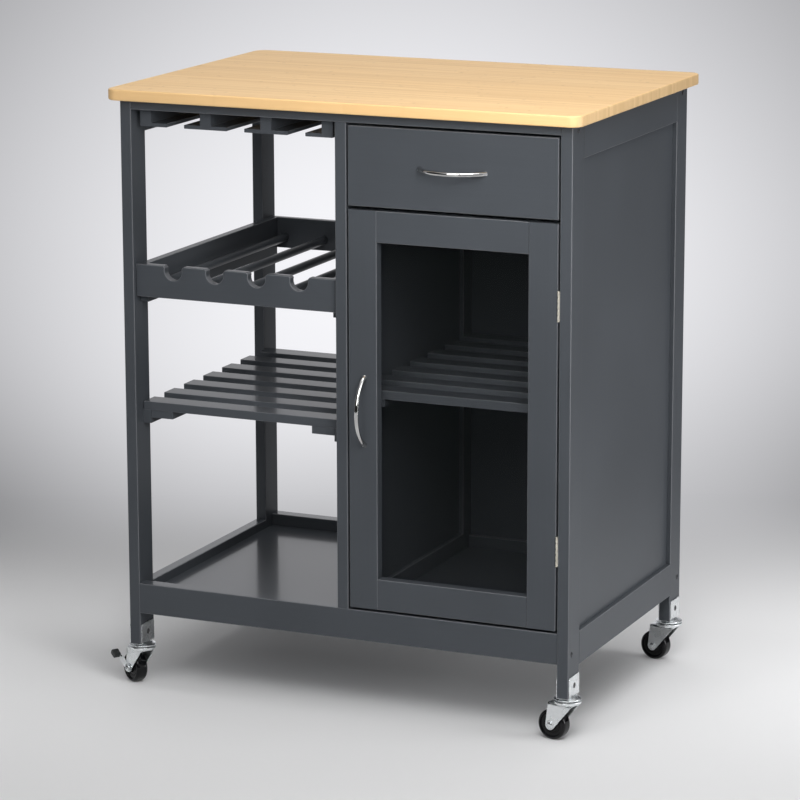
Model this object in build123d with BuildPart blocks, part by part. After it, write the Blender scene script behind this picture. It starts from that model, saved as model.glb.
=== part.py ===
from build123d import *
import math
import os

os.makedirs("parts", exist_ok=True)

# A rolling kitchen island: an open bay with stemware hangers, a wine rack and a slatted shelf on
# the left, a drawer over a glazed cupboard on the right, a worktop, and four swivel casters.
# Lengths are millimetres. +X runs to the right, +Y to the back, +Z up, and Z = 0 is the floor.

# Case
case_width = 644.0
case_depth = 435.0
case_height = 815.0
post_width = 16.0
post_depth = 40.0
arris = 1.2
slat_arris = 0.8

# Worktop
top_thickness = 15.0
top_side_overhang = 15.0
top_front_overhang = 16.5
top_corner_radius = 17.0
top_arris = 2.3

# Rails and panels
top_rail_height = 12.7
top_rail_depth = 39.0
bottom_rail_low = 108.0
bottom_rail_height = 42.0
bottom_rail_thickness = 20.0
side_rail_low = 100.0
side_bottom_rail_height = 45.5
side_top_rail_height = 46.5
partition_rail_low = 111.5
panel_thickness = 3.0
panel_groove = 5.0
back_panel_inset = 8.5
bottom_panel_top = 133.0

# Stemware hangers
block_width = 16.0
block_height = 18.3
block_setback = 12.0
plate_thickness = 5.0
hanger_count = 4
hanger_side_gap = 7.95
stem_slot = 25.7

# Wine rack
rack_board = 12.0
rack_setback = 6.5
rack_low = 549.0
rack_height = 44.0
rack_play = 0.5
rack_cleat_top = 558.0
bottle_count = 4
notch_depth = 19.3
notch_radius = 13.0
notch_flare = 2.7
rod_radius = 6.0
rod_side_gap = 6.5
rod_height = 564.5
rod_seat = 5.0
rod_clearance = 0.05

# Slatted shelves and the cleats under them
cleat_width = 12.0
cleat_height = 18.0
slat_count = 7
slat_depth = 31.0
slat_thickness = 12.0
slat_play = 1.5
shelf_setback = 20.0
bay_shelf_setback = 31.2
bay_shelf_top = 402.0
cabinet_shelf_top = 447.5
batten_width = 32.5
batten_height = 10.0
batten_inset = 12.5

# Drawer
front_gap = 2.5
drawer_front_drop = 3.3
drawer_front_height = 105.0
drawer_front_thickness = 16.0
drawer_length = 350.0
drawer_side = 10.0
drawer_side_lift = 9.0
drawer_side_height = 80.0
drawer_bottom_lift = 6.0
runner_width = 15.0
runner_height = 10.0
runner_wall = 3.5
runner_wall_height = 20.0
runner_play = 0.5
kicker_height = 12.0
kicker_play = 1.0
drawer_stop = 6.0

# Door
door_low_gap = 3.4
door_high_gap = 4.6
door_thickness = 18.0
stile_width = 40.4
rail_width = 41.8
rabbet_width = 6.0
rabbet_depth = 3.2
glass_thickness = 3.0
glass_play = 0.5
glass_clip_length = 20.0
glass_clip_width = 14.0
glass_clip_thickness = 1.2
glass_clip_overlap = 4.0

# Handles
handle_length = 97.0
handle_reach = 26.5
handle_width = 5.4
handle_thickness = 4.2
handle_foot_radius = 3.9
handle_foot_height = 5.0
handle_thread = 4.0
drawer_handle_lift = 53.0
door_handle_inset = 21.5
screw_radius = 1.9
screw_clearance = 0.1
pan_head_radius = 3.8
pan_head_height = 2.2

# Hinges
hinge_length = 38.5
hinge_inset = 106.5
knuckle_count = 5
knuckle_gap = 0.3
knuckle_radius = 1.65
hinge_axis_x = 0.6
hinge_axis_y = 0.6
pin_radius = 0.9
pin_clearance = 0.05
pin_head_radius = 1.5
pin_head_height = 0.6
leaf_thickness = 0.9
leaf_depth = 17.0
hinge_clearance = 0.35
hinge_notch_play = 1.5

# Magnetic catch
catch_width = 15.0
catch_depth = 18.0
catch_height = 38.0
catch_drop = 69.4
strike_width = 12.0
strike_height = 24.0
strike_thickness = 0.8
catch_gap = 0.3

# Assembly screws, with their heads sunk in the outer faces of the corner posts
sunk_head_radius = 3.5
sunk_head_height = 1.6
sunk_head_depth = 1.0
sunk_play = 0.2
sunk_length = 40.0
bottom_screw_inset = 11.5
bottom_screw_height = 121.0
top_screw_inset = 19.5
top_screw_drop = 8.0
hanger_screw_inset = 25.0
hanger_screw_length = 20.0

# Casters
caster_height = 63.0
clip_sheet = 1.2
clip_depth = 36.0
clip_flange = 28.0
clip_corner = 4.0
clip_screw_height = 77.3
clip_screw_length = 8.0
clip_screw_head = 1.1
race_radius = 18.5
race_shoulder = 11.0
race_rise = 2.4
race_thickness = 4.0
bearing_gap = 1.6
ball_radius = 1.5
ball_circle = 13.0
ball_count = 8
ball_clearance = 0.3
crown_thickness = 4.2
crown_edge = 1.4
fork_sheet = 1.5
fork_half_width = 11.2
fork_front = 13.0
fork_back = 24.0
fork_toe_radius = 6.6
fork_bend = 2.0
kingpin_radius = 3.0
kingpin_head_radius = 5.5
kingpin_head = 1.5
shaft_clearance = 0.05
running_clearance = 0.3
wheel_radius = 20.6
wheel_width = 17.4
wheel_edge = 2.6
wheel_ring_outer = 16.4
wheel_ring_inner = 7.6
wheel_ring_depth = 3.2
caster_trail = 20.6
axle_radius = 3.0
axle_head_radius = 4.2
axle_head = 1.4
axle_bolt_radius = 5.0
axle_bolt_head = 3.0

# Brake lever on the outside of a fork
brake_sheet = 1.5
brake_hub_radius = 6.2
brake_arm_reach = 18.0
brake_arm_end = 5.0
brake_slope = 31.0
pad_reach = 29.4
pad_length = 11.5
pad_width = 10.0
pad_height = 8.0
pad_round = 2.4
pad_rib_count = 4
pad_rib_pitch = 2.4
pad_rib_cut = 0.9
pad_tongue = 3.0

# Where each caster stands: its side, its end, the way it trails in degrees, and if it has a brake
casters = {
    "front_left": (-1, -1, 148.0, True),
    "front_right": (1, -1, 169.0, False),
    "rear_left": (-1, 1, 155.0, True),
    "rear_right": (1, 1, 169.5, False),
}


def turned(heading, along, across):
    """The X and Y of a point that lies along and across a heading in degrees."""
    angle = math.radians(heading)
    x = along * math.cos(angle) - across * math.sin(angle)
    y = along * math.sin(angle) + across * math.cos(angle)
    return x, y


# The whole outline, from brake pads to worktop and from handles to worktop, is centred on X = 0
# and Y = 0
slope = math.radians(brake_slope)
brake_inner = fork_half_width + running_clearance
brake_outer = brake_inner + pad_width
pad_tip = caster_trail + pad_reach * math.cos(slope) + pad_length / 2
pad_reach_left = min(turned(heading, pad_tip, brake_outer)[0] for _, _, heading, braked
                     in casters.values() if braked)
outline_left = post_width / 2 + pad_reach_left
outline_right = case_width + top_side_overhang
outline_front = -handle_reach
outline_back = case_depth + top_front_overhang
left = -(outline_left + outline_right) / 2
front = -(outline_front + outline_back) / 2
right = left + case_width
back = front + case_depth
middle_x = (left + right) / 2
middle_y = (front + back) / 2

# Spans shared by the case pieces, each as (low, high)
left_post = (left, left + post_width)
right_post = (right - post_width, right)
centre_post = (middle_x - post_width / 2, middle_x + post_width / 2)
front_post = (front, front + post_depth)
rear_post = (back - post_depth, back)
bay = (left_post[1], centre_post[0])
cabinet = (centre_post[1], right_post[0])
between_posts = (front_post[1], rear_post[0])
front_rail = (front, front + bottom_rail_thickness)
rear_rail = (back - bottom_rail_thickness, back)
between_rails = (front_rail[1], rear_rail[0])
top_rail = (case_height - top_rail_height, case_height)
bottom_rail = (bottom_rail_low, bottom_rail_low + bottom_rail_height)
side_bottom_rail = (side_rail_low, side_rail_low + side_bottom_rail_height)
side_top_rail = (case_height - side_top_rail_height, case_height)
partition_bottom_rail = (partition_rail_low, partition_rail_low + side_bottom_rail_height)
partition_top_rail = (top_rail[0] - side_top_rail_height, top_rail[0])
side_panel_x = (right - post_width / 2 - panel_thickness / 2,
                right - post_width / 2 + panel_thickness / 2)
partition_x = (middle_x - panel_thickness / 2, middle_x + panel_thickness / 2)
back_panel_y = (back - back_panel_inset - panel_thickness, back - back_panel_inset)
bottom_panel = (bottom_panel_top - panel_thickness, bottom_panel_top)
panel_y = (between_posts[0] - panel_groove, between_posts[1] + panel_groove)
side_panel_z = (side_bottom_rail[1] - panel_groove, side_top_rail[0] + panel_groove)
partition_z = (partition_bottom_rail[1] - panel_groove, partition_top_rail[0] + panel_groove)
back_panel_x = (cabinet[0] - panel_groove, cabinet[1] + panel_groove)
back_panel_z = (bottom_rail[1] - panel_groove, top_rail[0] + panel_groove)


def board(x, y, z, mode=Mode.ADD):
    """A straight piece from its spans along X, Y and Z, each given as (low, high)."""
    with BuildSketch(Plane.XY.offset(z[0])) as outline:
        with Locations(((x[0] + x[1]) / 2, (y[0] + y[1]) / 2)):
            Rectangle(x[1] - x[0], y[1] - y[0])
    extrude(outline.sketch, amount=z[1] - z[0], mode=mode)


def spread(middle, pitch, count):
    """Evenly spaced places about a middle."""
    return [middle + (i - (count - 1) / 2) * pitch for i in range(count)]


def rod(at, radius, length, mode=Mode.ADD):
    """A round bar that starts on a plane and runs along its normal."""
    with BuildSketch(at) as end:
        Circle(radius)
    extrude(end.sketch, amount=length, mode=mode)


def stem(side, end):
    """The point on the floor under the middle of a corner post."""
    return (middle_x + side * (case_width - post_width) / 2,
            middle_y + end * (case_depth - post_depth) / 2)


def clip_screw_planes():
    """The faces of the caster clips where their screws sit, facing outwards."""
    for side, end, _, _ in casters.values():
        x, y = stem(side, end)
        for way in (-1, 1):
            yield Plane(origin=(x + way * (post_width / 2 + clip_sheet), y, clip_screw_height),
                        x_dir=(0, 1, 0), z_dir=(way, 0, 0))


# Worktop
with BuildPart() as worktop:
    with BuildSketch(Plane.XY.offset(case_height)):
        with Locations((middle_x, middle_y)):
            RectangleRounded(case_width + 2 * top_side_overhang,
                             case_depth + 2 * top_front_overhang, top_corner_radius)
    extrude(amount=top_thickness)
    fillet(worktop.faces().sort_by(Axis.Z)[-1].edges(), top_arris)
    fillet(worktop.faces().sort_by(Axis.Z)[0].edges(), top_arris)
worktop.part.label = "worktop"
export_step(worktop.part, "parts/worktop.step")

# Sunk assembly screws: the head of each lies in a recess in a post, and its shank runs into a rail
screw_places = []
for inset, height in ((bottom_screw_inset, bottom_screw_height),
                      (top_screw_inset, case_height - top_screw_drop)):
    for y in (front + inset, back - inset):
        screw_places.append((y, height))
screw_planes = []
for y, height in screw_places:
    screw_planes.append(Plane(origin=(left, y, height), x_dir=(0, 1, 0), z_dir=(1, 0, 0)))
    screw_planes.append(Plane(origin=(right, y, height), x_dir=(0, 1, 0), z_dir=(-1, 0, 0)))
head_seat = sunk_head_depth + sunk_head_height


def screw_holes():
    """Cut the recess and the shank hole of every sunk assembly screw."""
    for at in screw_planes:
        rod(at, sunk_head_radius + sunk_play, head_seat, Mode.SUBTRACT)
        rod(at, screw_radius + screw_clearance, sunk_length + sunk_play, Mode.SUBTRACT)


# Corner posts
with BuildPart() as corner_posts:
    for x in (left_post, right_post):
        for y in (front_post, rear_post):
            board(x, y, (caster_height, case_height))
    fillet(corner_posts.edges().filter_by(Axis.Z), arris)
    board(side_panel_x, panel_y, side_panel_z, Mode.SUBTRACT)
    board(back_panel_x, back_panel_y, back_panel_z, Mode.SUBTRACT)
    screw_holes()
    for face in clip_screw_planes():
        rod(face.offset(-clip_screw_length), screw_radius + screw_clearance, clip_screw_length,
            Mode.SUBTRACT)
corner_posts.part.label = "corner_posts"
export_step(corner_posts.part, "parts/corner_posts.step")

# Centre posts: each stands on a bottom rail, and its inner half runs down behind the rail
with BuildPart() as centre_posts:
    for y in (front_post, rear_post):
        board(centre_post, y, (partition_rail_low, top_rail[0]))
    fillet(centre_posts.edges().filter_by(Axis.Z), arris)
    for y in (front_rail, rear_rail):
        board(centre_post, y, (partition_rail_low, bottom_rail[1]), Mode.SUBTRACT)
    board(partition_x, panel_y, partition_z, Mode.SUBTRACT)
    board(back_panel_x, back_panel_y, back_panel_z, Mode.SUBTRACT)
centre_posts.part.label = "centre_posts"
export_step(centre_posts.part, "parts/centre_posts.step")

# Top rails: flat battens between the corner posts, under the worktop
with BuildPart() as top_rails:
    for y in ((front, front + top_rail_depth), (back - top_rail_depth, back)):
        board((left_post[1], right_post[0]), y, top_rail)
    fillet(top_rails.edges().filter_by(Axis.X), arris)
    board(back_panel_x, back_panel_y, back_panel_z, Mode.SUBTRACT)
    screw_holes()
top_rails.part.label = "top_rails"
export_step(top_rails.part, "parts/top_rails.step")

# Bottom rails, front and rear
with BuildPart() as bottom_rails:
    for y in (front_rail, rear_rail):
        board((left_post[1], right_post[0]), y, bottom_rail)
    fillet(bottom_rails.edges().filter_by(Axis.X), arris)
    board(back_panel_x, back_panel_y, back_panel_z, Mode.SUBTRACT)
    screw_holes()
bottom_rails.part.label = "bottom_rails"
export_step(bottom_rails.part, "parts/bottom_rails.step")

# Side rails, top and bottom, between the corner posts
with BuildPart() as side_rails:
    for x in (left_post, right_post):
        for z in (side_bottom_rail, side_top_rail):
            board(x, between_posts, z)
    fillet(side_rails.edges().filter_by(Axis.Y), arris)
    board(side_panel_x, panel_y, side_panel_z, Mode.SUBTRACT)
side_rails.part.label = "side_rails"
export_step(side_rails.part, "parts/side_rails.step")

# Partition rails, between the centre posts
with BuildPart() as partition_rails:
    for z in (partition_bottom_rail, partition_top_rail):
        board(centre_post, between_posts, z)
    fillet(partition_rails.edges().filter_by(Axis.Y), arris)
    board(partition_x, panel_y, partition_z, Mode.SUBTRACT)
partition_rails.part.label = "partition_rails"
export_step(partition_rails.part, "parts/partition_rails.step")

# Panels, each held in grooves in the posts and rails around it
with BuildPart() as side_panel:
    board(side_panel_x, panel_y, side_panel_z)
side_panel.part.label = "side_panel"
export_step(side_panel.part, "parts/side_panel.step")

with BuildPart() as partition_panel:
    board(partition_x, panel_y, partition_z)
partition_panel.part.label = "partition_panel"
export_step(partition_panel.part, "parts/partition_panel.step")

with BuildPart() as back_panel:
    board(back_panel_x, back_panel_y, back_panel_z)
back_panel.part.label = "back_panel"
export_step(back_panel.part, "parts/back_panel.step")

with BuildPart() as bottom_panels:
    for x in (bay, cabinet):
        board(x, between_rails, bottom_panel)
bottom_panels.part.label = "bottom_panels"
export_step(bottom_panels.part, "parts/bottom_panels.step")


# Cleats: under the bottom panels, the wine rack and both shelves
def cleat_pair(x, y, top):
    """Two cleats along the sides of a bay, with their tops at one height."""
    for low in (x[0], x[1] - cleat_width):
        board((low, low + cleat_width), y, (top - cleat_height, top))


rack_front = (front + rack_setback, front + rack_setback + rack_board)
rack_back = (back - rack_setback - rack_board, back - rack_setback)
between_rack_boards = (rack_front[1], rack_back[0])
shelf_cleat_y = (front + shelf_setback, back - shelf_setback)
with BuildPart() as cleats:
    for x in (bay, cabinet):
        for low in (between_rails[0], between_rails[1] - cleat_width):
            board(x, (low, low + cleat_width), (bottom_panel[0] - cleat_height, bottom_panel[0]))
    cleat_pair(bay, between_rack_boards, rack_cleat_top)
    cleat_pair(bay, shelf_cleat_y, bay_shelf_top - slat_thickness)
    cleat_pair(cabinet, shelf_cleat_y, cabinet_shelf_top - slat_thickness)
cleats.part.label = "cleats"
export_step(cleats.part, "parts/cleats.step")

# Stemware hangers: blocks under the top rails, and a wider plate under each block
bay_middle = (bay[0] + bay[1]) / 2
hanger_pitch = (bay[1] - bay[0] - 2 * hanger_side_gap - block_width) / (hanger_count - 1)
block_places = spread(bay_middle, hanger_pitch, hanger_count)
block_z = (top_rail[0] - block_height, top_rail[0])
plate_z = (block_z[0] - plate_thickness, block_z[0])
hanger_y = (front + block_setback, back - block_setback)
wing = (hanger_pitch - stem_slot) / 2
hanger_screws = []
for x in block_places:
    for y in (hanger_y[0] + hanger_screw_inset, hanger_y[1] - hanger_screw_inset):
        hanger_screws.append(Plane(origin=(x, y, plate_z[0]), z_dir=(0, 0, 1)))


def hanger_holes():
    """Cut the recess and the shank hole of every screw that holds a hanger plate."""
    for at in hanger_screws:
        rod(at, sunk_head_radius + sunk_play, sunk_head_height, Mode.SUBTRACT)
        rod(at, screw_radius + screw_clearance, hanger_screw_length + sunk_play, Mode.SUBTRACT)


with BuildPart() as stem_blocks:
    for x in block_places:
        board((x - block_width / 2, x + block_width / 2), hanger_y, block_z)
    fillet(stem_blocks.edges().filter_by(Axis.Y), slat_arris)
    hanger_holes()
stem_blocks.part.label = "stem_blocks"
export_step(stem_blocks.part, "parts/stem_blocks.step")

with BuildPart() as stem_plates:
    for i, x in enumerate(block_places):
        low = x - (block_width / 2 if i == 0 else wing)
        high = x + (block_width / 2 if i == len(block_places) - 1 else wing)
        board((low, high), hanger_y, plate_z)
    fillet(stem_plates.edges().filter_by(Axis.Y), slat_arris)
    hanger_holes()
stem_plates.part.label = "stem_plates"
export_step(stem_plates.part, "parts/stem_plates.step")


# All the countersunk screws of the case
def sunk_screw(at, head_depth, length):
    """A screw along a plane's normal, its head starting at a depth below the plane."""
    rod(at.offset(head_depth), sunk_head_radius, sunk_head_height)
    rod(at.offset(head_depth + sunk_head_height), screw_radius, length - head_depth - sunk_head_height)


with BuildPart() as case_screws:
    for at in screw_planes:
        sunk_screw(at, sunk_head_depth, sunk_length)
    for at in hanger_screws:
        sunk_screw(at, 0, hanger_screw_length)
case_screws.part.label = "case_screws"
export_step(case_screws.part, "parts/case_screws.step")

# Wine rack: end boards, the front one with a notch for each bottle's neck, side boards and rods
rack_z = (rack_low, rack_low + rack_height)
rack_x = (bay[0] + rack_play, bay[1] - rack_play)
rod_room = rack_x[1] - rack_x[0] - 2 * (rack_board + rod_side_gap + rod_radius)
bottle_pitch = rod_room / bottle_count
notch_places = spread(bay_middle, bottle_pitch, bottle_count)
rod_places = spread(bay_middle, bottle_pitch, bottle_count + 1)
with BuildPart() as rack_end_boards:
    for y in (rack_front, rack_back):
        board(rack_x, y, rack_z)
    fillet(rack_end_boards.edges().filter_by(Axis.X), slat_arris)
    notch_plane = Plane(origin=(0, rack_front[0], 0), x_dir=(1, 0, 0), z_dir=(0, -1, 0))
    with BuildSketch(notch_plane) as notches:
        for x in notch_places:
            with BuildLine():
                centre = rack_z[1] - notch_depth + notch_radius
                flank = notch_radius + notch_flare
                floor = Line((x - flank, rack_z[1]), (x - notch_radius, centre))
                cradle = ThreePointArc(floor @ 1, (x, rack_z[1] - notch_depth),
                                       (x + notch_radius, centre))
                Polyline(cradle @ 1, (x + flank, rack_z[1]), floor @ 0)
            make_face()
    extrude(amount=-rack_board, mode=Mode.SUBTRACT)
    for x in rod_places:
        seat = Plane(origin=(x, rack_front[1] - rod_seat, rod_height), z_dir=(0, 1, 0))
        span = between_rack_boards[1] - between_rack_boards[0] + 2 * rod_seat
        rod(seat, rod_radius + rod_clearance, span, Mode.SUBTRACT)
rack_end_boards.part.label = "rack_end_boards"
export_step(rack_end_boards.part, "parts/rack_end_boards.step")

with BuildPart() as rack_side_boards:
    for low in (rack_x[0], rack_x[1] - rack_board):
        board((low, low + rack_board), between_rack_boards, (rack_cleat_top, rack_z[1]))
    fillet(rack_side_boards.edges().filter_by(Axis.Y), slat_arris)
rack_side_boards.part.label = "rack_side_boards"
export_step(rack_side_boards.part, "parts/rack_side_boards.step")

with BuildPart() as rack_rods:
    for x in rod_places:
        start = Plane(origin=(x, rack_front[1] - rod_seat, rod_height), z_dir=(0, 1, 0))
        rod(start, rod_radius, between_rack_boards[1] - between_rack_boards[0] + 2 * rod_seat)
rack_rods.part.label = "rack_rods"
export_step(rack_rods.part, "parts/rack_rods.step")


# Slatted shelves: slats across each bay, with two battens under them
bay_shelf_y = (front + shelf_setback, back - bay_shelf_setback)
cabinet_shelf_y = (front + shelf_setback, back - shelf_setback)


def slats(x, y, top):
    """The slats of one shelf, spread evenly from its front to its back."""
    pitch = (y[1] - y[0] - slat_depth) / (slat_count - 1)
    for i in range(slat_count):
        low = y[0] + i * pitch
        board((x[0] + slat_play, x[1] - slat_play), (low, low + slat_depth),
              (top - slat_thickness, top))
    fillet(edges().filter_by(Axis.X), slat_arris)


with BuildPart() as bay_shelf_slats:
    slats(bay, bay_shelf_y, bay_shelf_top)
bay_shelf_slats.part.label = "bay_shelf_slats"
export_step(bay_shelf_slats.part, "parts/bay_shelf_slats.step")

with BuildPart() as cabinet_shelf_slats:
    slats(cabinet, cabinet_shelf_y, cabinet_shelf_top)
cabinet_shelf_slats.part.label = "cabinet_shelf_slats"
export_step(cabinet_shelf_slats.part, "parts/cabinet_shelf_slats.step")

with BuildPart() as shelf_battens:
    for x, y, shelf_top in ((bay, bay_shelf_y, bay_shelf_top),
                            (cabinet, cabinet_shelf_y, cabinet_shelf_top)):
        batten_top = shelf_top - slat_thickness
        for low in (x[0] + batten_inset, x[1] - batten_inset - batten_width):
            board((low, low + batten_width), y, (batten_top - batten_height, batten_top))
shelf_battens.part.label = "shelf_battens"
export_step(shelf_battens.part, "parts/shelf_battens.step")

# Drawer: a front, two sides, a back and a bottom held in grooves
front_x = (cabinet[0] + front_gap, cabinet[1] - front_gap)
drawer_front_z = (top_rail[0] - drawer_front_drop - drawer_front_height,
                  top_rail[0] - drawer_front_drop)
drawer_side_low = drawer_front_z[0] + drawer_side_lift
drawer_side_z = (drawer_side_low, drawer_side_low + drawer_side_height)
side_play = runner_wall + runner_play
drawer_x = (cabinet[0] + side_play, cabinet[1] - side_play)
drawer_y = (front + drawer_front_thickness, front + drawer_front_thickness + drawer_length)
drawer_inner_x = (drawer_x[0] + drawer_side, drawer_x[1] - drawer_side)
drawer_bottom_z = (drawer_side_low + drawer_bottom_lift,
                   drawer_side_low + drawer_bottom_lift + panel_thickness)
drawer_bottom_x = (drawer_inner_x[0] - panel_groove, drawer_inner_x[1] + panel_groove)
drawer_bottom_y = (drawer_y[0] - panel_groove, drawer_y[1] - drawer_side + panel_groove)
cabinet_middle = (cabinet[0] + cabinet[1]) / 2
door_z = (bottom_rail[1] + door_low_gap, drawer_front_z[0] - door_high_gap)
door_middle = (door_z[0] + door_z[1]) / 2
drawer_handle_plane = Plane(origin=(cabinet_middle, front, drawer_front_z[0] + drawer_handle_lift),
                            x_dir=(1, 0, 0), z_dir=(0, 0, -1))
door_handle_plane = Plane(origin=(front_x[0] + door_handle_inset, front, door_middle),
                          x_dir=(0, 0, 1), z_dir=(1, 0, 0))
foot_place = handle_length / 2 - handle_foot_radius


def handle_screw_planes(at):
    """The planes on the front face where a handle's two screws come out, facing outwards."""
    for side in (-foot_place, foot_place):
        yield Plane(origin=at.origin + at.x_dir * side, x_dir=at.x_dir, z_dir=at.y_dir)


def handle_screw_holes(at, thickness):
    """Cut the two screw holes of a handle through a front of one thickness."""
    for face in handle_screw_planes(at):
        rod(face.offset(-thickness), screw_radius + screw_clearance, thickness, Mode.SUBTRACT)


with BuildPart() as drawer_front:
    board(front_x, (front, front + drawer_front_thickness), drawer_front_z)
    fillet(drawer_front.faces().sort_by(Axis.Y)[0].edges(), arris)
    board(drawer_bottom_x, drawer_bottom_y, drawer_bottom_z, Mode.SUBTRACT)
    handle_screw_holes(drawer_handle_plane, drawer_front_thickness)
drawer_front.part.label = "drawer_front"
export_step(drawer_front.part, "parts/drawer_front.step")

with BuildPart() as drawer_sides:
    for low in (drawer_x[0], drawer_inner_x[1]):
        board((low, low + drawer_side), drawer_y, drawer_side_z)
    board(drawer_bottom_x, drawer_bottom_y, drawer_bottom_z, Mode.SUBTRACT)
drawer_sides.part.label = "drawer_sides"
export_step(drawer_sides.part, "parts/drawer_sides.step")

with BuildPart() as drawer_back:
    board(drawer_inner_x, (drawer_y[1] - drawer_side, drawer_y[1]), drawer_side_z)
    board(drawer_bottom_x, drawer_bottom_y, drawer_bottom_z, Mode.SUBTRACT)
drawer_back.part.label = "drawer_back"
export_step(drawer_back.part, "parts/drawer_back.step")

with BuildPart() as drawer_bottom:
    board(drawer_bottom_x, drawer_bottom_y, drawer_bottom_z)
drawer_bottom.part.label = "drawer_bottom"
export_step(drawer_bottom.part, "parts/drawer_bottom.step")

# Drawer runners: an L with a stop under each side, and a kicker over it
runner_z = (drawer_side_low - runner_height, drawer_side_low)
kicker_low = drawer_side_z[1] + kicker_play
stop_low = drawer_y[1] + running_clearance
with BuildPart() as drawer_runners:
    for edge, inward in ((cabinet[0], 1), (cabinet[1], -1)):
        foot = tuple(sorted((edge, edge + inward * runner_width)))
        wall = tuple(sorted((edge, edge + inward * runner_wall)))
        board(foot, shelf_cleat_y, runner_z)
        board(wall, shelf_cleat_y, (drawer_side_low, drawer_side_low + runner_wall_height))
        board(foot, (stop_low, stop_low + drawer_stop),
              (drawer_side_low, drawer_side_low + runner_wall_height))
        board(foot, shelf_cleat_y, (kicker_low, kicker_low + kicker_height))
drawer_runners.part.label = "drawer_runners"
export_step(drawer_runners.part, "parts/drawer_runners.step")

# Door: stiles and rails round a pane, which lies in a rabbet at the back
door_y = (front, front + door_thickness)
door_inner_x = (front_x[0] + stile_width, front_x[1] - stile_width)
window_z = (door_z[0] + rail_width, door_z[1] - rail_width)
rabbet_x = (door_inner_x[0] - rabbet_width, door_inner_x[1] + rabbet_width)
rabbet_z = (window_z[0] - rabbet_width, window_z[1] + rabbet_width)
rabbet_y = (door_y[1] - rabbet_depth, door_y[1])
hinge_x = front_x[1] + hinge_axis_x
hinge_y = front + hinge_axis_y
hinge_places = (door_z[0] + hinge_inset, door_z[1] - hinge_inset)
notch_reach = knuckle_radius + hinge_clearance

with BuildPart() as door_stiles:
    for low in (front_x[0], door_inner_x[1]):
        board((low, low + stile_width), door_y, door_z)
    fillet(door_stiles.edges().filter_by(Axis.Z).group_by(Axis.Y)[0], arris)
    board(rabbet_x, rabbet_y, rabbet_z, Mode.SUBTRACT)
    for z in hinge_places:
        half = hinge_length / 2 + hinge_notch_play
        board((hinge_x - notch_reach, hinge_x), (front - arris, hinge_y + notch_reach),
              (z - half, z + half), Mode.SUBTRACT)
    handle_screw_holes(door_handle_plane, door_thickness)
door_stiles.part.label = "door_stiles"
export_step(door_stiles.part, "parts/door_stiles.step")

with BuildPart() as door_rails:
    for low in (door_z[0], window_z[1]):
        board(door_inner_x, door_y, (low, low + rail_width))
    fillet(door_rails.edges().filter_by(Axis.X).group_by(Axis.Y)[0], arris)
    board(rabbet_x, rabbet_y, rabbet_z, Mode.SUBTRACT)
door_rails.part.label = "door_rails"
export_step(door_rails.part, "parts/door_rails.step")

with BuildPart() as door_glass:
    board((rabbet_x[0] + glass_play, rabbet_x[1] - glass_play),
          (rabbet_y[0], rabbet_y[0] + glass_thickness),
          (rabbet_z[0] + glass_play, rabbet_z[1] - glass_play))
door_glass.part.label = "door_glass"
export_step(door_glass.part, "parts/door_glass.step")

# Clips on the back of the door, which keep the pane in its rabbet
with BuildPart() as glass_clips:
    clip_y = (door_y[1], door_y[1] + glass_clip_thickness)
    window_third = (window_z[1] - window_z[0]) / 3
    window_middle = (door_inner_x[0] + door_inner_x[1]) / 2
    for edge, inward in ((rabbet_x[0], 1), (rabbet_x[1], -1)):
        reach = inward * glass_clip_overlap
        clip_x = tuple(sorted((edge + reach, edge + reach - inward * glass_clip_width)))
        for z in (window_z[0] + window_third, window_z[1] - window_third):
            board(clip_x, clip_y, (z - glass_clip_length / 2, z + glass_clip_length / 2))
    for edge, inward in ((rabbet_z[0], 1), (rabbet_z[1], -1)):
        reach = inward * glass_clip_overlap
        clip_z = tuple(sorted((edge + reach, edge + reach - inward * glass_clip_width)))
        board((window_middle - glass_clip_length / 2, window_middle + glass_clip_length / 2),
              clip_y, clip_z)
glass_clips.part.label = "glass_clips"
export_step(glass_clips.part, "parts/glass_clips.step")


# Bow handles and their screws
def bow_handle(at):
    """A bow with two round feet, along a plane's X and bowed out along its Y."""
    with BuildPart() as handle:
        with BuildLine(at) as bow:
            ThreePointArc((-foot_place, 0), (0, handle_reach - handle_thickness / 2), (foot_place, 0))
        with BuildSketch(Plane(origin=bow.line @ 0, x_dir=at.z_dir, z_dir=bow.line % 0)):
            Ellipse(handle_width / 2, handle_thickness / 2)
        sweep()
        split(bisect_by=Plane(origin=at.origin, x_dir=at.x_dir, z_dir=at.y_dir), keep=Keep.TOP)
        for face in handle_screw_planes(at):
            rod(face, handle_foot_radius, handle_foot_height)
        for face in handle_screw_planes(at):
            rod(face, screw_radius + screw_clearance, handle_foot_height, Mode.SUBTRACT)
    return handle


def handle_screws(at, thickness):
    """Two pan-headed screws, from the back of a front into the feet of its handle."""
    with BuildPart() as screws:
        for face in handle_screw_planes(at):
            rod(face.offset(-thickness - pan_head_height), pan_head_radius, pan_head_height)
            rod(face.offset(-thickness), screw_radius, thickness + handle_thread)
    return screws


drawer_handle = bow_handle(drawer_handle_plane)
drawer_handle.part.label = "drawer_handle"
export_step(drawer_handle.part, "parts/drawer_handle.step")

drawer_handle_screws = handle_screws(drawer_handle_plane, drawer_front_thickness)
drawer_handle_screws.part.label = "drawer_handle_screws"
export_step(drawer_handle_screws.part, "parts/drawer_handle_screws.step")

door_handle = bow_handle(door_handle_plane)
door_handle.part.label = "door_handle"
export_step(door_handle.part, "parts/door_handle.step")

door_handle_screws = handle_screws(door_handle_plane, door_thickness)
door_handle_screws.part.label = "door_handle_screws"
export_step(door_handle_screws.part, "parts/door_handle_screws.step")

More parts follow.
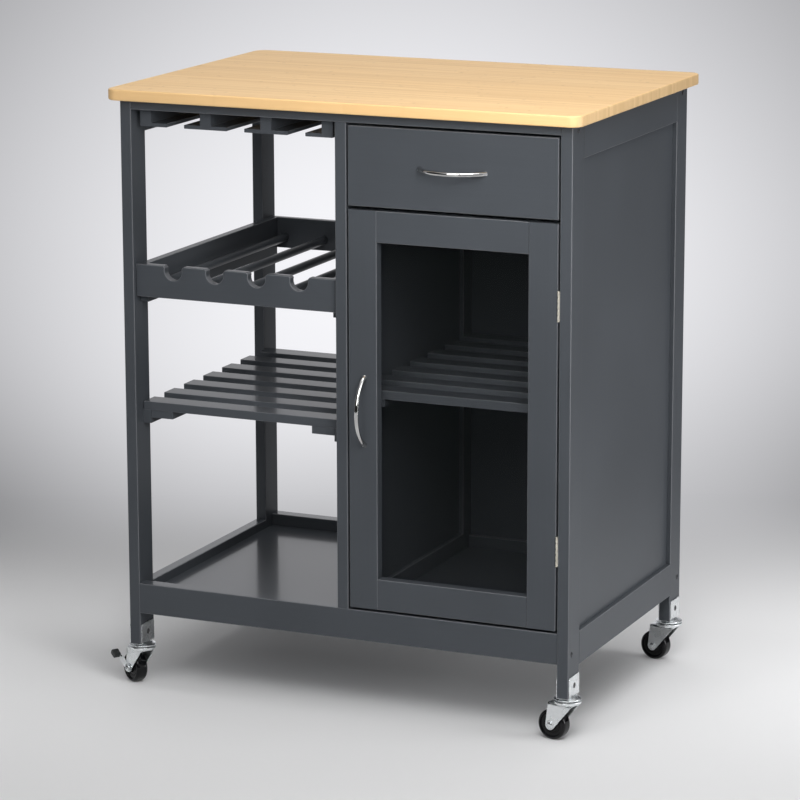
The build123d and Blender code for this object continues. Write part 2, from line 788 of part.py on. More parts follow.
# Hinges: the case leaf has the odd knuckles and the door leaf the even ones
knuckle_length = (hinge_length - (knuckle_count - 1) * knuckle_gap) / knuckle_count
leaf_y = (hinge_y + knuckle_radius + hinge_clearance, front + leaf_depth)


def hinge_leaf(plate_x, first):
    """One leaf of both hinges: a plate and every second knuckle, counted from the first."""
    with BuildPart() as leaf:
        for z in hinge_places:
            low = z - hinge_length / 2
            board(plate_x, leaf_y, (low, low + hinge_length))
            for i in range(first, knuckle_count, 2):
                start = low + i * (knuckle_length + knuckle_gap)
                board(plate_x, (hinge_y, leaf_y[0]), (start, start + knuckle_length))
                rod(Plane(origin=(hinge_x, hinge_y, start)), knuckle_radius, knuckle_length)
            rod(Plane(origin=(hinge_x, hinge_y, low)), pin_radius + pin_clearance, hinge_length,
                Mode.SUBTRACT)
    return leaf


hinge_case_leaves = hinge_leaf((cabinet[1] - leaf_thickness, cabinet[1]), 0)
hinge_case_leaves.part.label = "hinge_case_leaves"
export_step(hinge_case_leaves.part, "parts/hinge_case_leaves.step")

hinge_door_leaves = hinge_leaf((front_x[1], front_x[1] + leaf_thickness), 1)
hinge_door_leaves.part.label = "hinge_door_leaves"
export_step(hinge_door_leaves.part, "parts/hinge_door_leaves.step")

with BuildPart() as hinge_pins:
    for z in hinge_places:
        low = z - hinge_length / 2
        rod(Plane(origin=(hinge_x, hinge_y, low)), pin_radius, hinge_length)
        for end in (low - pin_head_height, low + hinge_length):
            rod(Plane(origin=(hinge_x, hinge_y, end)), pin_head_radius, pin_head_height)
hinge_pins.part.label = "hinge_pins"
export_step(hinge_pins.part, "parts/hinge_pins.step")

# Magnetic catch on the centre post, and its strike plate on the door
strike_y = (door_y[1], door_y[1] + strike_thickness)
catch_middle = door_z[1] - catch_drop
with BuildPart() as magnet_catch:
    catch_low = strike_y[1] + catch_gap
    board((cabinet[0], cabinet[0] + catch_width), (catch_low, catch_low + catch_depth),
          (catch_middle - catch_height / 2, catch_middle + catch_height / 2))
    fillet(magnet_catch.edges().filter_by(Axis.Y), arris)
magnet_catch.part.label = "magnet_catch"
export_step(magnet_catch.part, "parts/magnet_catch.step")

with BuildPart() as magnet_strike:
    board((front_x[0], front_x[0] + strike_width), strike_y,
          (catch_middle - strike_height / 2, catch_middle + strike_height / 2))
magnet_strike.part.label = "magnet_strike"
export_step(magnet_strike.part, "parts/magnet_strike.step")

# Heights in a caster, from its clip down to its fork
clip_low = caster_height - clip_sheet
race_low = clip_low - race_thickness
crown_top = race_low - bearing_gap
crown_low = crown_top - crown_thickness
fork_under = crown_low - fork_sheet
fork_inner = fork_half_width - fork_sheet
ball_middle = (race_low + crown_top) / 2


def upright(x, y):
    """The plane of a profile that is turned about a caster's stem: radius, then height."""
    return Plane(origin=(x, y, 0), x_dir=(1, 0, 0), z_dir=(0, -1, 0))


def spin(x, y):
    """The upright axis through a caster's stem."""
    return Axis((x, y, 0), (0, 0, 1))


def ball_groove(x, y):
    """Cut the ring groove that the balls run in."""
    with BuildSketch(upright(x, y)) as section:
        with Locations((ball_circle, ball_middle)):
            Circle(ball_radius + ball_clearance)
    revolve(section.sketch, axis=spin(x, y), mode=Mode.SUBTRACT)


# Caster clips: a U of sheet round the foot of each post, with the upper race under it
with BuildPart() as caster_clips:
    for side, end, _, _ in casters.values():
        x, y = stem(side, end)
        outer_x = post_width / 2 + clip_sheet
        with BuildSketch(Plane(origin=(x - outer_x, y, 0), x_dir=(0, 1, 0), z_dir=(1, 0, 0))):
            with Locations((0, (clip_low + caster_height + clip_flange) / 2)):
                Rectangle(clip_depth, clip_flange + clip_sheet)
        extrude(amount=2 * outer_x)
        fillet(edges(Select.LAST).filter_by(Axis.X).group_by(Axis.Z)[-1], clip_corner)
        board((x - post_width / 2, x + post_width / 2), (y - clip_depth, y + clip_depth),
              (caster_height, caster_height + clip_flange), Mode.SUBTRACT)
        with BuildSketch(upright(x, y)):
            with BuildLine():
                Polyline((0, race_low), (race_radius, race_low), (race_radius, clip_low - race_rise),
                         (race_shoulder, clip_low), (0, clip_low), close=True)
            make_face()
        revolve(axis=spin(x, y))
        ball_groove(x, y)
        rod(Plane(origin=(x, y, race_low)), kingpin_radius + shaft_clearance,
            race_thickness + clip_sheet, Mode.SUBTRACT)
    for face in clip_screw_planes():
        rod(face.offset(-clip_screw_length), screw_radius + screw_clearance, clip_screw_length,
            Mode.SUBTRACT)
caster_clips.part.label = "caster_clips"
export_step(caster_clips.part, "parts/caster_clips.step")

# Screws through the clips into the posts
with BuildPart() as caster_screws:
    for face in clip_screw_planes():
        rod(face, pan_head_radius, clip_screw_head)
        rod(face.offset(-clip_screw_length), screw_radius, clip_screw_length)
caster_screws.part.label = "caster_screws"
export_step(caster_screws.part, "parts/caster_screws.step")

# Kingpins: a rivet from each clip down through the crown of its fork
with BuildPart() as caster_kingpins:
    for side, end, _, _ in casters.values():
        x, y = stem(side, end)
        pin_head_top = fork_under - running_clearance
        rod(Plane(origin=(x, y, pin_head_top)), kingpin_radius, caster_height - pin_head_top)
        rod(Plane(origin=(x, y, pin_head_top - kingpin_head)), kingpin_head_radius, kingpin_head)
caster_kingpins.part.label = "caster_kingpins"
export_step(caster_kingpins.part, "parts/caster_kingpins.step")

# Bearing balls between each clip and its fork
with BuildPart() as caster_balls:
    for side, end, _, _ in casters.values():
        x, y = stem(side, end)
        with Locations(Plane(origin=(x, y, ball_middle))):
            with PolarLocations(ball_circle, ball_count):
                Sphere(ball_radius)
caster_balls.part.label = "caster_balls"
export_step(caster_balls.part, "parts/caster_balls.step")


# Pieces that swivel: each is laid out along its trail
def along_trail(x, y, heading, offset=0):
    """The upright plane along a caster's trail, moved across it by an offset."""
    shift_x, shift_y = turned(heading, 0, offset)
    ahead = turned(heading, 1, 0)
    across = turned(heading, 0, 1)
    return Plane(origin=(x + shift_x, y + shift_y, 0), x_dir=(ahead[0], ahead[1], 0),
                 z_dir=(-across[0], -across[1], 0))


def axle_plane(x, y, heading, offset):
    """The plane square to the axle, its normal pointing away from the brake side."""
    ahead = turned(heading, caster_trail, 0)
    plane = along_trail(x + ahead[0], y + ahead[1], heading, offset)
    return Plane(origin=plane.origin + Vector(0, 0, wheel_radius), x_dir=plane.x_dir,
                 z_dir=plane.z_dir)


def caster_fork(x, y, heading):
    """A bent fork with two tapering cheeks, hung from a round crown."""
    with BuildPart() as fork:
        with BuildSketch(along_trail(x, y, heading)):
            with Locations((caster_trail, wheel_radius)):
                Circle(fork_toe_radius)
            with Locations(((fork_back - fork_front) / 2, crown_low - fork_sheet / 2)):
                Rectangle(fork_back + fork_front, fork_sheet)
            make_hull()
        extrude(amount=fork_half_width, both=True)
        fillet(edges().group_by(Axis.Z)[-1].group_by(SortBy.LENGTH)[-1], fork_bend)
        ahead = turned(heading, 1, 0)
        with BuildSketch(Plane(origin=(x, y, fork_under), x_dir=(ahead[0], ahead[1], 0))):
            Rectangle(2 * (caster_trail + wheel_radius), 2 * fork_inner)
        extrude(amount=-fork_under, mode=Mode.SUBTRACT)
        with BuildSketch(upright(x, y)):
            with BuildLine():
                Polyline((0, fork_under), (fork_front, fork_under),
                         (race_radius, crown_low + crown_edge), (race_radius, crown_top),
                         (0, crown_top), close=True)
            make_face()
        revolve(axis=spin(x, y))
        ball_groove(x, y)
        rod(Plane(origin=(x, y, fork_under)), kingpin_radius + shaft_clearance,
            crown_top - fork_under, Mode.SUBTRACT)
        rod(axle_plane(x, y, heading, fork_half_width), axle_radius + shaft_clearance,
            2 * fork_half_width, Mode.SUBTRACT)
    return fork


def caster_wheel(x, y, heading):
    """A solid wheel with a rounded tread, a sunk ring in each side and a hub up to the fork."""
    with BuildPart() as wheel:
        rod(axle_plane(x, y, heading, wheel_width / 2), wheel_radius, wheel_width)
        fillet(wheel.edges().filter_by(GeomType.CIRCLE), wheel_edge)
        for offset, depth in ((wheel_width / 2, wheel_ring_depth),
                              (-wheel_width / 2, -wheel_ring_depth)):
            with BuildSketch(axle_plane(x, y, heading, offset)):
                Circle(wheel_ring_outer)
                Circle(wheel_ring_inner, mode=Mode.SUBTRACT)
            extrude(amount=depth, mode=Mode.SUBTRACT)
        hub = fork_inner - running_clearance
        rod(axle_plane(x, y, heading, hub), wheel_ring_inner, 2 * hub)
        rod(axle_plane(x, y, heading, hub), axle_radius + shaft_clearance, 2 * hub, Mode.SUBTRACT)
    return wheel


def caster_axle(x, y, heading, braked):
    """A rivet through fork and wheel, or a bolt where it carries a brake lever too."""
    stack = brake_sheet + 2 * running_clearance if braked else 0
    outer = fork_half_width + stack
    head_radius = axle_bolt_radius if braked else axle_head_radius
    head = axle_bolt_head if braked else axle_head
    with BuildPart() as axle:
        rod(axle_plane(x, y, heading, outer), axle_radius, outer + fork_half_width)
        rod(axle_plane(x, y, heading, outer + head), head_radius, head)
        rod(axle_plane(x, y, heading, -fork_half_width), axle_head_radius, axle_head)
    return axle


def brake_tongue(at, mode):
    """The tongue between a brake lever's arm and its pad."""
    middle = (brake_arm_reach + pad_reach) / 2
    with BuildSketch(at) as tongue:
        with Locations(Location((middle * math.cos(slope), middle * math.sin(slope)), brake_slope)):
            Rectangle(pad_reach - brake_arm_reach, pad_tongue)
    extrude(tongue.sketch, amount=-brake_sheet, mode=mode)


def brake_arm(x, y, heading):
    """A flat lever on the axle bolt, with a tongue that carries the pad."""
    with BuildPart() as arm:
        with BuildSketch(axle_plane(x, y, heading, brake_inner)):
            Circle(brake_hub_radius)
            with Locations((brake_arm_reach * math.cos(slope), brake_arm_reach * math.sin(slope))):
                Circle(brake_arm_end)
            make_hull()
        extrude(amount=-brake_sheet)
        brake_tongue(axle_plane(x, y, heading, brake_inner), Mode.ADD)
        rod(axle_plane(x, y, heading, brake_outer), axle_radius + shaft_clearance,
            brake_outer - brake_inner, Mode.SUBTRACT)
    return arm


def brake_pad(x, y, heading):
    """A ribbed foot pad, moulded round the tongue of its lever."""
    with BuildPart() as pad:
        at = axle_plane(x, y, heading, brake_inner)
        with BuildSketch(at):
            with Locations(Location((pad_reach * math.cos(slope), pad_reach * math.sin(slope)),
                                    brake_slope)):
                RectangleRounded(pad_length, pad_height, pad_round)
                for rib in spread(0, pad_rib_pitch, pad_rib_count):
                    with Locations((rib, pad_height / 2)):
                        Circle(pad_rib_cut, mode=Mode.SUBTRACT)
        extrude(amount=-pad_width)
        brake_tongue(at, Mode.SUBTRACT)
    return pad


for name, (side, end, heading, braked) in casters.items():
    x, y = stem(side, end)
    fork = caster_fork(x, y, heading)
    fork.part.label = f"fork_{name}"
    export_step(fork.part, f"parts/fork_{name}.step")
    wheel = caster_wheel(x, y, heading)
    wheel.part.label = f"wheel_{name}"
    export_step(wheel.part, f"parts/wheel_{name}.step")
    axle = caster_axle(x, y, heading, braked)
    axle.part.label = f"axle_{name}"
    export_step(axle.part, f"parts/axle_{name}.step")
    if braked:
        arm = brake_arm(x, y, heading)
        arm.part.label = f"brake_arm_{name}"
        export_step(arm.part, f"parts/brake_arm_{name}.step")
        pad = brake_pad(x, y, heading)
        pad.part.label = f"brake_pad_{name}"
        export_step(pad.part, f"parts/brake_pad_{name}.step")
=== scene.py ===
# %% [markdown]
# # A rolling kitchen island, dressed for its picture
#
# The imported model gives every board, wheel and screw its true place. This lesson adds what the eye
# expects on top of it: bamboo strips in the worktop, satin paint on the wood, bright metal in the
# casters, and the small round forms that a plain solid leaves out.
#
# The frame comes first, because every piece rides on one of its bodies.

# %% Load the frame
import math

import bmesh
import bpy
import numpy as np
from mathutils import Matrix, Vector


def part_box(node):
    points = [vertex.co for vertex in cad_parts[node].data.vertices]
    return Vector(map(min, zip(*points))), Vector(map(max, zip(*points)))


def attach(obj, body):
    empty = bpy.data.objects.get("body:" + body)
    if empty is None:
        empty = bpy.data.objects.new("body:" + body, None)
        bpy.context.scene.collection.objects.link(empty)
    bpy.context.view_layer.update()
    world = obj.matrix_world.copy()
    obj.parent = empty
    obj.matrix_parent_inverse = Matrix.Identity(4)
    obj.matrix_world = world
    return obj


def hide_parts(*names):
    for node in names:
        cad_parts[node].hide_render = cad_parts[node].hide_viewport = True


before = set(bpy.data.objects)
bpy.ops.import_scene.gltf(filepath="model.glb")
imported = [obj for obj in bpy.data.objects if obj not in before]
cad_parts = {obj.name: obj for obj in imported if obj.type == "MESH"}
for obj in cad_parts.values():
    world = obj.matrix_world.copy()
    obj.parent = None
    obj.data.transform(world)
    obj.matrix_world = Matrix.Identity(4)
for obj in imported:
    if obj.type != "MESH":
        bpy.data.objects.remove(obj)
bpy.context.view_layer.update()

# %% [markdown]
# ## The camera
#
# The picture was taken from the front right, a little above the worktop, with a long lens, which
# keeps the posts almost parallel. These values come from a fit to its straight edges.

# %% Camera
MM = 0.001
focal_pixels = 3490.5
picture_width = 800

lens = bpy.data.cameras.new("camera")
lens.sensor_width = 36.0
lens.lens = focal_pixels / picture_width * lens.sensor_width
camera = bpy.data.objects.new("camera", lens)
bpy.context.scene.collection.objects.link(camera)
camera.location = (1.8971, -4.2773, 1.4405)
camera.rotation_mode = "QUATERNION"
yaw, pitch, roll = math.radians(23.847), math.radians(-12.665), math.radians(-0.123)
tilted_up = Matrix.Rotation(yaw, 3, "Z") @ Matrix.Rotation(math.pi / 2 + pitch, 3, "X")
camera.rotation_quaternion = (tilted_up @ Matrix.Rotation(roll, 3, "Z")).to_quaternion()
bpy.context.scene.camera = camera
print("lens", round(lens.lens, 1), "mm")

# %% [markdown]
# ## Shader maths as Python
#
# A material is a small sum: a strip number, a random tone for it, a bit of fibre noise. Wiring each
# Math node by hand hides that sum. So the class below wraps one socket: `1 - mask` adds the node
# that does it, and its `node` method adds any other kind.


# %% A socket with arithmetic
def operator(operation, flipped=False):
    """A method that adds a Math node for a socket and another value, or the other way round."""
    def method(self, other=0.0):
        pair = {0: other, 1: self} if flipped else {0: self, 1: other}
        return self.node("ShaderNodeMath", pair, operation=operation)
    return method


class Signal:
    """One output socket of a material. Arithmetic on it adds Math nodes to its tree."""

    def __init__(self, tree, socket=None):
        self.tree = tree
        self.socket = socket

    __add__ = __radd__ = operator("ADD")
    __sub__, __rsub__ = operator("SUBTRACT"), operator("SUBTRACT", flipped=True)
    __mul__ = __rmul__ = operator("MULTIPLY")
    __truediv__ = operator("DIVIDE")
    __abs__, floor = operator("ABSOLUTE"), operator("FLOOR")
    larger, as_exponent_of = operator("MAXIMUM"), operator("POWER", flipped=True)

    def node(self, kind, plugs, out=0, **settings):
        """Adds a node: its settings first, then a value or a link for each plug."""
        made = self.tree.nodes.new(kind)
        for name, value in settings.items():
            setattr(made, name, value)
        for plug, value in plugs.items():
            if isinstance(value, Signal):
                self.tree.links.new(value.socket, made.inputs[plug])
            else:
                made.inputs[plug].default_value = value
        return Signal(self.tree, made.outputs[out]) if made.outputs else None

    def parts(self):
        """The x, y and z of a vector."""
        split = self.node("ShaderNodeSeparateXYZ", {0: self}).socket.node
        return [Signal(self.tree, output) for output in split.outputs]

    def step(self, low, high):
        """0 below low, 1 above high, and a smooth rise between."""
        return self.node("ShaderNodeMapRange", {"Value": self, "From Min": low, "From Max": high},
                         interpolation_type="SMOOTHSTEP")


# %% [markdown]
# All materials start and end in the same way, and mix colours and noise in between.


# %% The start and the end of a material
def blend(amount, first, second):
    """The colour first where the amount is 0, and second where it is 1."""
    return amount.node("ShaderNodeMix", {"Factor": amount, 6: first, 7: second}, out=2,
                       data_type="RGBA")


def scaled(place, scale):
    """The coordinates times one factor for each axis."""
    return place.node("ShaderNodeMapping", {"Vector": place, "Scale": scale})


def noise(place, scale=1.0, detail=2.0, roughness=0.5):
    """Smooth noise, mostly between 0.3 and 0.7."""
    return place.node("ShaderNodeTexNoise", {"Vector": place, "Scale": scale, "Detail": detail,
                                             "Roughness": roughness})


def start(name):
    """A new empty material, and the signal of its object coordinates, in metres."""
    made = bpy.data.materials.new(name)
    made.use_nodes = True
    made.node_tree.nodes.clear()
    return made, Signal(made.node_tree).node("ShaderNodeTexCoord", {}, out="Object")


def finish_material(made, place, height=None, distance=0.0, **plugs):
    """Adds the surface shader, with a bump where a height is given."""
    plugs = {name.replace("_", " "): value for name, value in plugs.items()}
    if height and distance:
        plugs["Normal"] = place.node("ShaderNodeBump", {"Height": height, "Distance": distance})
    shader = place.node("ShaderNodeBsdfPrincipled", plugs)
    place.node("ShaderNodeOutputMaterial", {"Surface": shader})
    return made


# %% [markdown]
# ## Paint
#
# The case is solid wood under dark grey satin paint. Such paint is never one flat tone: the film is
# thinner here and there, the grain shows through as long shallow lines, and the spray leaves a fine
# peel. The grain follows each board, so there is one paint for each direction, and one for the thin
# panels. Faces that lie flat shine like a clear coat, upright ones stay satin, and the rounded
# arrises get a paler grey, a painted highlight along the edges.


# %% Satin paint over wood
relief = 0.06 * MM
grain_across, grain_along = 420.0, 6.0
film_thick, film_thin = (0.0555, 0.0613, 0.0693, 1), (0.064, 0.0707, 0.08, 1)
# Painted highlight: a paler grey on the rounded arrises, where the edges catch the light.
arris_highlight_grey = (0.13, 0.135, 0.145, 1)


def paint(name, grain, arris_highlight_strength=1.0):
    """Dark grey paint with grain lines along one axis, or hardly any where grain is None.

    A face counts as an arris where none of the parts x, y, z of its direction comes near 1. There
    the grey is painted paler, a painted highlight."""
    made, place = start(name)
    x, y, z = place.node("ShaderNodeTexCoord", {}, out="Normal").parts()
    # The arris mask paints a highlight: the grey turns paler on the rounded edges.
    painted_arris_highlight = (1 - abs(x).larger(abs(y)).larger(abs(z)).step(0.93, 0.995)) * arris_highlight_strength
    lying = z.step(0.9, 0.99)
    cloud = noise(place, scale=5.0)
    peel = noise(place, scale=600.0, detail=1.0)
    stretch = [grain_across] * 3
    stretch["xyz".index(grain or "z")] = grain_along
    lines = noise(scaled(place, stretch), detail=3.0, roughness=0.6)
    tone = cloud * 0.8 + lines * 0.2
    film = blend(tone.step(0.3, 0.7), film_thick, film_thin)
    return finish_material(made, place, height=lines * (0.2 if grain else 0.08) + peel * 0.08,
                           distance=relief, Base_Color=blend(painted_arris_highlight, film, arris_highlight_grey),
                           Roughness=0.30 + cloud * 0.08 + lines * 0.05, Specular_IOR_Level=0.15,
                           Coat_Weight=lying * 0.65, Coat_Roughness=0.12)


paints = {grain: paint(f"paint_{grain}", grain) for grain in "xyz"}
paints[None] = paint("paint_panel", None)
# The rods get no painted arris highlight.
rod_paint = paint("paint_rods", "y", arris_highlight_strength=0.0)
print("paints", len(paints) + 1)

# %% [markdown]
# ## Bamboo
#
# The worktop is glued up from narrow strips set on edge. On top they are fine long lines, the
# front edge shows the face of one strip, and on the side edges their ends make a row of light and
# dark blocks. A solid pattern gives all three at once: the strip number depends on Y alone, and
# each strip has its own tone, fibres and dark node bands.

# %% Strip bamboo
strip_width, stave_length, node_spacing = 6.4 * MM, 0.62, 0.27
pale_strip, tan_strip = (0.92, 0.645, 0.34, 1), (0.72, 0.445, 0.19, 1)
warm_patch = (0.86, 0.55, 0.24, 1)
node_brown, seam_brown = (0.36, 0.19, 0.065, 1), (0.46, 0.26, 0.1, 1)
pale_block, tan_block = (0.74, 0.525, 0.285, 1), (0.48, 0.3, 0.13, 1)


def bamboo():
    """Strips along X with a tone each, fibres, node bands, and rougher darker end grain."""
    made, place = start("bamboo")
    along, across, _ = place.parts()
    strips = across / strip_width
    number = strips.floor()
    own = number.node("ShaderNodeTexWhiteNoise", {"W": number}, noise_dimensions="1D")
    slid = along + own * 3.7
    pair = number.node("ShaderNodeCombineXYZ", {"X": number, "Y": (slid / stave_length).floor()})
    tone = pair.node("ShaderNodeTexWhiteNoise", {"Vector": pair}, noise_dimensions="2D")
    fibre = noise(scaled(place, (9.0, 1500.0, 700.0)), detail=3.0, roughness=0.65)
    cloud = noise(scaled(place, (3.0, 14.0, 3.0)))
    beat = slid / node_spacing
    band = 1 - abs(beat - beat.floor() - 0.5).step(0.002, 0.013)
    gap = abs(strips - number - 0.5).step(0.44, 0.5)
    x, _, z = place.node("ShaderNodeTexCoord", {}, out="Normal").parts()
    sideways, upward = abs(x).step(0.55, 0.95), z.step(0.55, 0.95)
    light = blend(tone * 0.6 + fibre * 0.4, pale_strip, tan_strip)
    warm = blend(cloud.step(0.3, 0.7) * 0.3, light, warm_patch)
    marked = blend(band * (0.03 + upward * (0.05 + own * 0.2)), warm, node_brown)
    seamed = blend(gap * 0.15, marked, seam_brown)
    dots = noise(place, scale=1300.0)
    plies = noise(scaled(place, (1.0, 520.0, 20.0)), detail=1.0)
    block = blend(tone * 0.35 + plies * 0.3 + dots * 0.15, pale_block, tan_block)
    return finish_material(made, place, height=fibre * 0.5 - gap * 0.4 + dots * 0.1,
                           distance=relief, Base_Color=blend(sideways * 0.9, seamed, block),
                           Roughness=0.40 + fibre * 0.12 + sideways * 0.12,
                           Coat_Weight=0.12, Coat_Roughness=0.25)


worktop_bamboo = bamboo()
print("bamboo strips of", strip_width / MM, "mm")

# %% [markdown]
# ## Metals, glass and plastics
#
# The handles are polished chrome and need only a trace of unevenness. The casters are bright zinc
# plate over pressed steel: duller, cloudy, and a shade cooler. Hidden fittings are plain steel. The
# screw heads that sit in shade are painted nearly black, a painted shade for the dark of their
# holes.
# The hinges are a pale brass. Wheels and pads are black plastic, shiny and dull. They differ only in
# numbers, so one function makes them all.


# %% Cloudy finishes
def cloudy(name, dark, light, rough, scale, bump=0.0, **fixed):
    """A finish whose tone drifts between two colours and whose roughness drifts by a quarter."""
    made, place = start(name)
    cloud = noise(place, scale=scale, detail=4.0, roughness=0.6).step(0.3, 0.7)
    fine = noise(place, scale=scale * 9)
    return finish_material(made, place, height=fine, distance=bump,
                           Base_Color=blend(cloud, (*dark, 1), (*light, 1)),
                           Roughness=rough * (0.85 + cloud * 0.3), **fixed)


chrome = cloudy("chrome", (0.58, 0.58, 0.575), (0.66, 0.66, 0.65), rough=0.07, scale=60,
                bump=0.002 * MM, Metallic=1.0)
zinc = cloudy("zinc", (0.77, 0.80, 0.81), (0.86, 0.88, 0.89), rough=0.28, scale=60, Metallic=1.0)
steel = cloudy("screw_steel", (0.50, 0.51, 0.52), (0.64, 0.65, 0.66), rough=0.30, scale=300,
               bump=0.02 * MM, Metallic=1.0)
# Painted shade: these screw heads are nearly black to stand for the dark of the holes they sit in.
painted_shade_steel = cloudy("sunk_screw_steel", (0.06, 0.06, 0.063), (0.13, 0.13, 0.135), rough=0.4,
                    scale=300, bump=0.02 * MM, Metallic=0.8)
brass = cloudy("hinge_brass", (0.74, 0.70, 0.60), (0.86, 0.83, 0.74), rough=0.34, scale=400,
               bump=0.02 * MM, Metallic=0.7)
nylon = cloudy("wheel_nylon", (0.003, 0.003, 0.0035), (0.007, 0.007, 0.008), rough=0.13, scale=140,
               bump=0.01 * MM, Specular_IOR_Level=0.25)
dull_plastic = cloudy("pad_plastic", (0.016, 0.018, 0.018), (0.03, 0.032, 0.032), rough=0.5,
                      scale=220, bump=0.04 * MM)


def glazing():
    """Clear glass: barely there when faced, and the more aslant it is seen the more it mirrors."""
    made, place = start("clear_glass")
    aslant = place.node("ShaderNodeLayerWeight", {"Blend": 0.3}, out="Facing")
    smear = noise(place, scale=4.0, detail=3.0)
    return finish_material(made, place, Base_Color=(0.008, 0.012, 0.012, 1),
                           Alpha=0.04 + aslant * 0.4, Roughness=0.02 + smear * 0.04)


clear = glazing()
print("materials", len(bpy.data.materials))

# %% [markdown]
# ## Surfaces from arrays
#
# Every new piece is made of grids of points worked out with numpy. The rows run along the piece
# and the columns go round it. One function turns grids into a mesh, merges the points that fall
# together at a pole or a seam, and turns all faces outwards.


# %% Grids to a mesh
merge_distance = 1e-6


def quads(rows, ring, loop):
    """The vertex numbers of the faces between neighbouring rows and columns of a grid."""
    count, around = rows.shape[:2]
    index = np.arange(count * around).reshape(count, around)
    if ring:
        index = np.concatenate([index, index[:, :1]], axis=1)
    if loop:
        index = np.concatenate([index, index[:1]], axis=0)
    corners = [index[:-1, :-1], index[:-1, 1:], index[1:, 1:], index[1:, :-1]]
    return np.stack(corners, axis=-1).reshape(-1, 4)


def added(name, points, faces, material):
    """A smooth mesh object with one material, put into the scene at the origin."""
    mesh = bpy.data.meshes.new(name)
    mesh.from_pydata(points, [], faces)
    mesh.polygons.foreach_set("use_smooth", [True] * len(mesh.polygons))
    mesh.materials.append(material)
    made = bpy.data.objects.new(name, mesh)
    bpy.context.scene.collection.objects.link(made)
    return made


def piece(name, grids, body, material, replaces, ring=True, loop=False, capped=False,
          smooth_angle=35.0, thickness=0.0):
    """One object from several grids of points: rows along it, columns round it."""
    points, faces, offset = [], [], 0
    for rows in grids:
        rows = np.asarray(rows, float)
        points += rows.reshape(-1, 3).tolist()
        faces += (quads(rows, ring, loop) + offset).tolist()
        for row in (0, len(rows) - 1) if capped else ():
            if np.ptp(rows[row], axis=0).max() > merge_distance:
                first = offset + row * rows.shape[1]
                faces.append(list(range(first, first + rows.shape[1])))
        offset += rows.shape[0] * rows.shape[1]
    made = added(name, points, faces, material)
    tidy = bmesh.new()
    tidy.from_mesh(made.data)
    bmesh.ops.remove_doubles(tidy, verts=tidy.verts, dist=merge_distance)
    bmesh.ops.dissolve_degenerate(tidy, edges=tidy.edges, dist=merge_distance / 10)
    bmesh.ops.recalc_face_normals(tidy, faces=tidy.faces)
    tidy.to_mesh(made.data)
    tidy.free()
    made.data.set_sharp_from_angle(angle=math.radians(smooth_angle))
    if thickness:
        sheet = made.modifiers.new("sheet", "SOLIDIFY")
        sheet.thickness, sheet.offset, sheet.use_even_offset = thickness, 0.0, True
    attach(made, body)
    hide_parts(replaces)
    return made


# %% [markdown]
# Most grids are one of two kinds: a profile turned about an axis, or an outline with rounded
# corners that is drawn in towards its edge. Sizes of small fittings are given in millimetres.


# %% Turned profiles and rounded outlines
def axes_about(axis):
    """Two unit vectors square to an axis and to each other."""
    axis = np.asarray(axis, float)
    axis = axis / np.linalg.norm(axis)
    helper = (0, 0, 1) if abs(axis[2]) < 0.9 else (1, 0, 0)
    side = np.cross(helper, axis)
    side = side / np.linalg.norm(side)
    return side, np.cross(axis, side), axis


def revolved(profile, centre, axis, count=48):
    """Rows of rings: point = centre + height * axis + radius * (cos t * side + sin t * up)."""
    side, up, axis = axes_about(axis)
    profile = np.asarray(profile, float)
    turn = np.linspace(0, 2 * np.pi, count, endpoint=False)
    ring = np.cos(turn)[:, None] * side + np.sin(turn)[:, None] * up
    return (np.asarray(centre) + profile[:, 1, None, None] * axis
            + profile[:, 0, None, None] * ring)


def rounded(corners, radii, steps=5):
    """An open outline whose inner corners are rounded: each corner becomes an arc.

    An arc is drawn as the curve (1 - t)^2 * a + 2 t (1 - t) * corner + t^2 * b, where a and b lie
    one radius before and after the corner."""
    corners = np.asarray(corners, float)
    t = np.linspace(0, 1, steps + 1)[:, None]
    path = [corners[:1]]
    for before, corner, after, radius in zip(corners, corners[1:], corners[2:], radii):
        a = corner + (before - corner) / np.linalg.norm(before - corner) * radius
        b = corner + (after - corner) / np.linalg.norm(after - corner) * radius
        path.append((1 - t) ** 2 * a + 2 * t * (1 - t) * corner + t ** 2 * b)
    return np.concatenate(path + [corners[-1:]])


def rounded_mm(corners, radii, steps=5):
    """The same for sizes in millimetres."""
    return rounded(np.array(corners) * MM, np.array(radii) * MM, steps)


def edge_curve(steps):
    """Rows of 1 - cos t and 1 - sin t over a quarter turn, the two distances of a round edge."""
    turn = np.linspace(0, np.pi / 2, steps)
    return np.column_stack([1 - np.cos(turn), 1 - np.sin(turn)])


# %% [markdown]
# ## Worktop
#
# A slab with round corners and a soft arris, along which a highlight runs. The solid's arris has a
# few flat facets, so the slab is made again as one smooth skin: a rounded rectangle is drawn in
# from the edge by the arris profile, row by row.

# %% Worktop
corner_radius = 17 * MM
arris = 2.3 * MM


def rounded_rectangle(low, high, radius, inset, steps=14):
    """Points round a rectangle whose corners are quarter circles, drawn in by an inset."""
    turn = np.linspace(0, np.pi / 2, steps)
    arc = np.stack([np.cos(turn), np.sin(turn)], axis=1) * (radius - inset)
    sides = []
    left, front, right, back = (low[0] + radius, low[1] + radius,
                                high[0] - radius, high[1] - radius)
    for quarter, (x, y) in enumerate([(right, back), (left, back), (left, front), (right, front)]):
        turned = quarter * math.pi / 2
        cosine, sine = round(math.cos(turned)), round(math.sin(turned))
        sides.append(arc @ np.array([[cosine, sine], [-sine, cosine]]) + (x, y))
    return np.concatenate(sides)


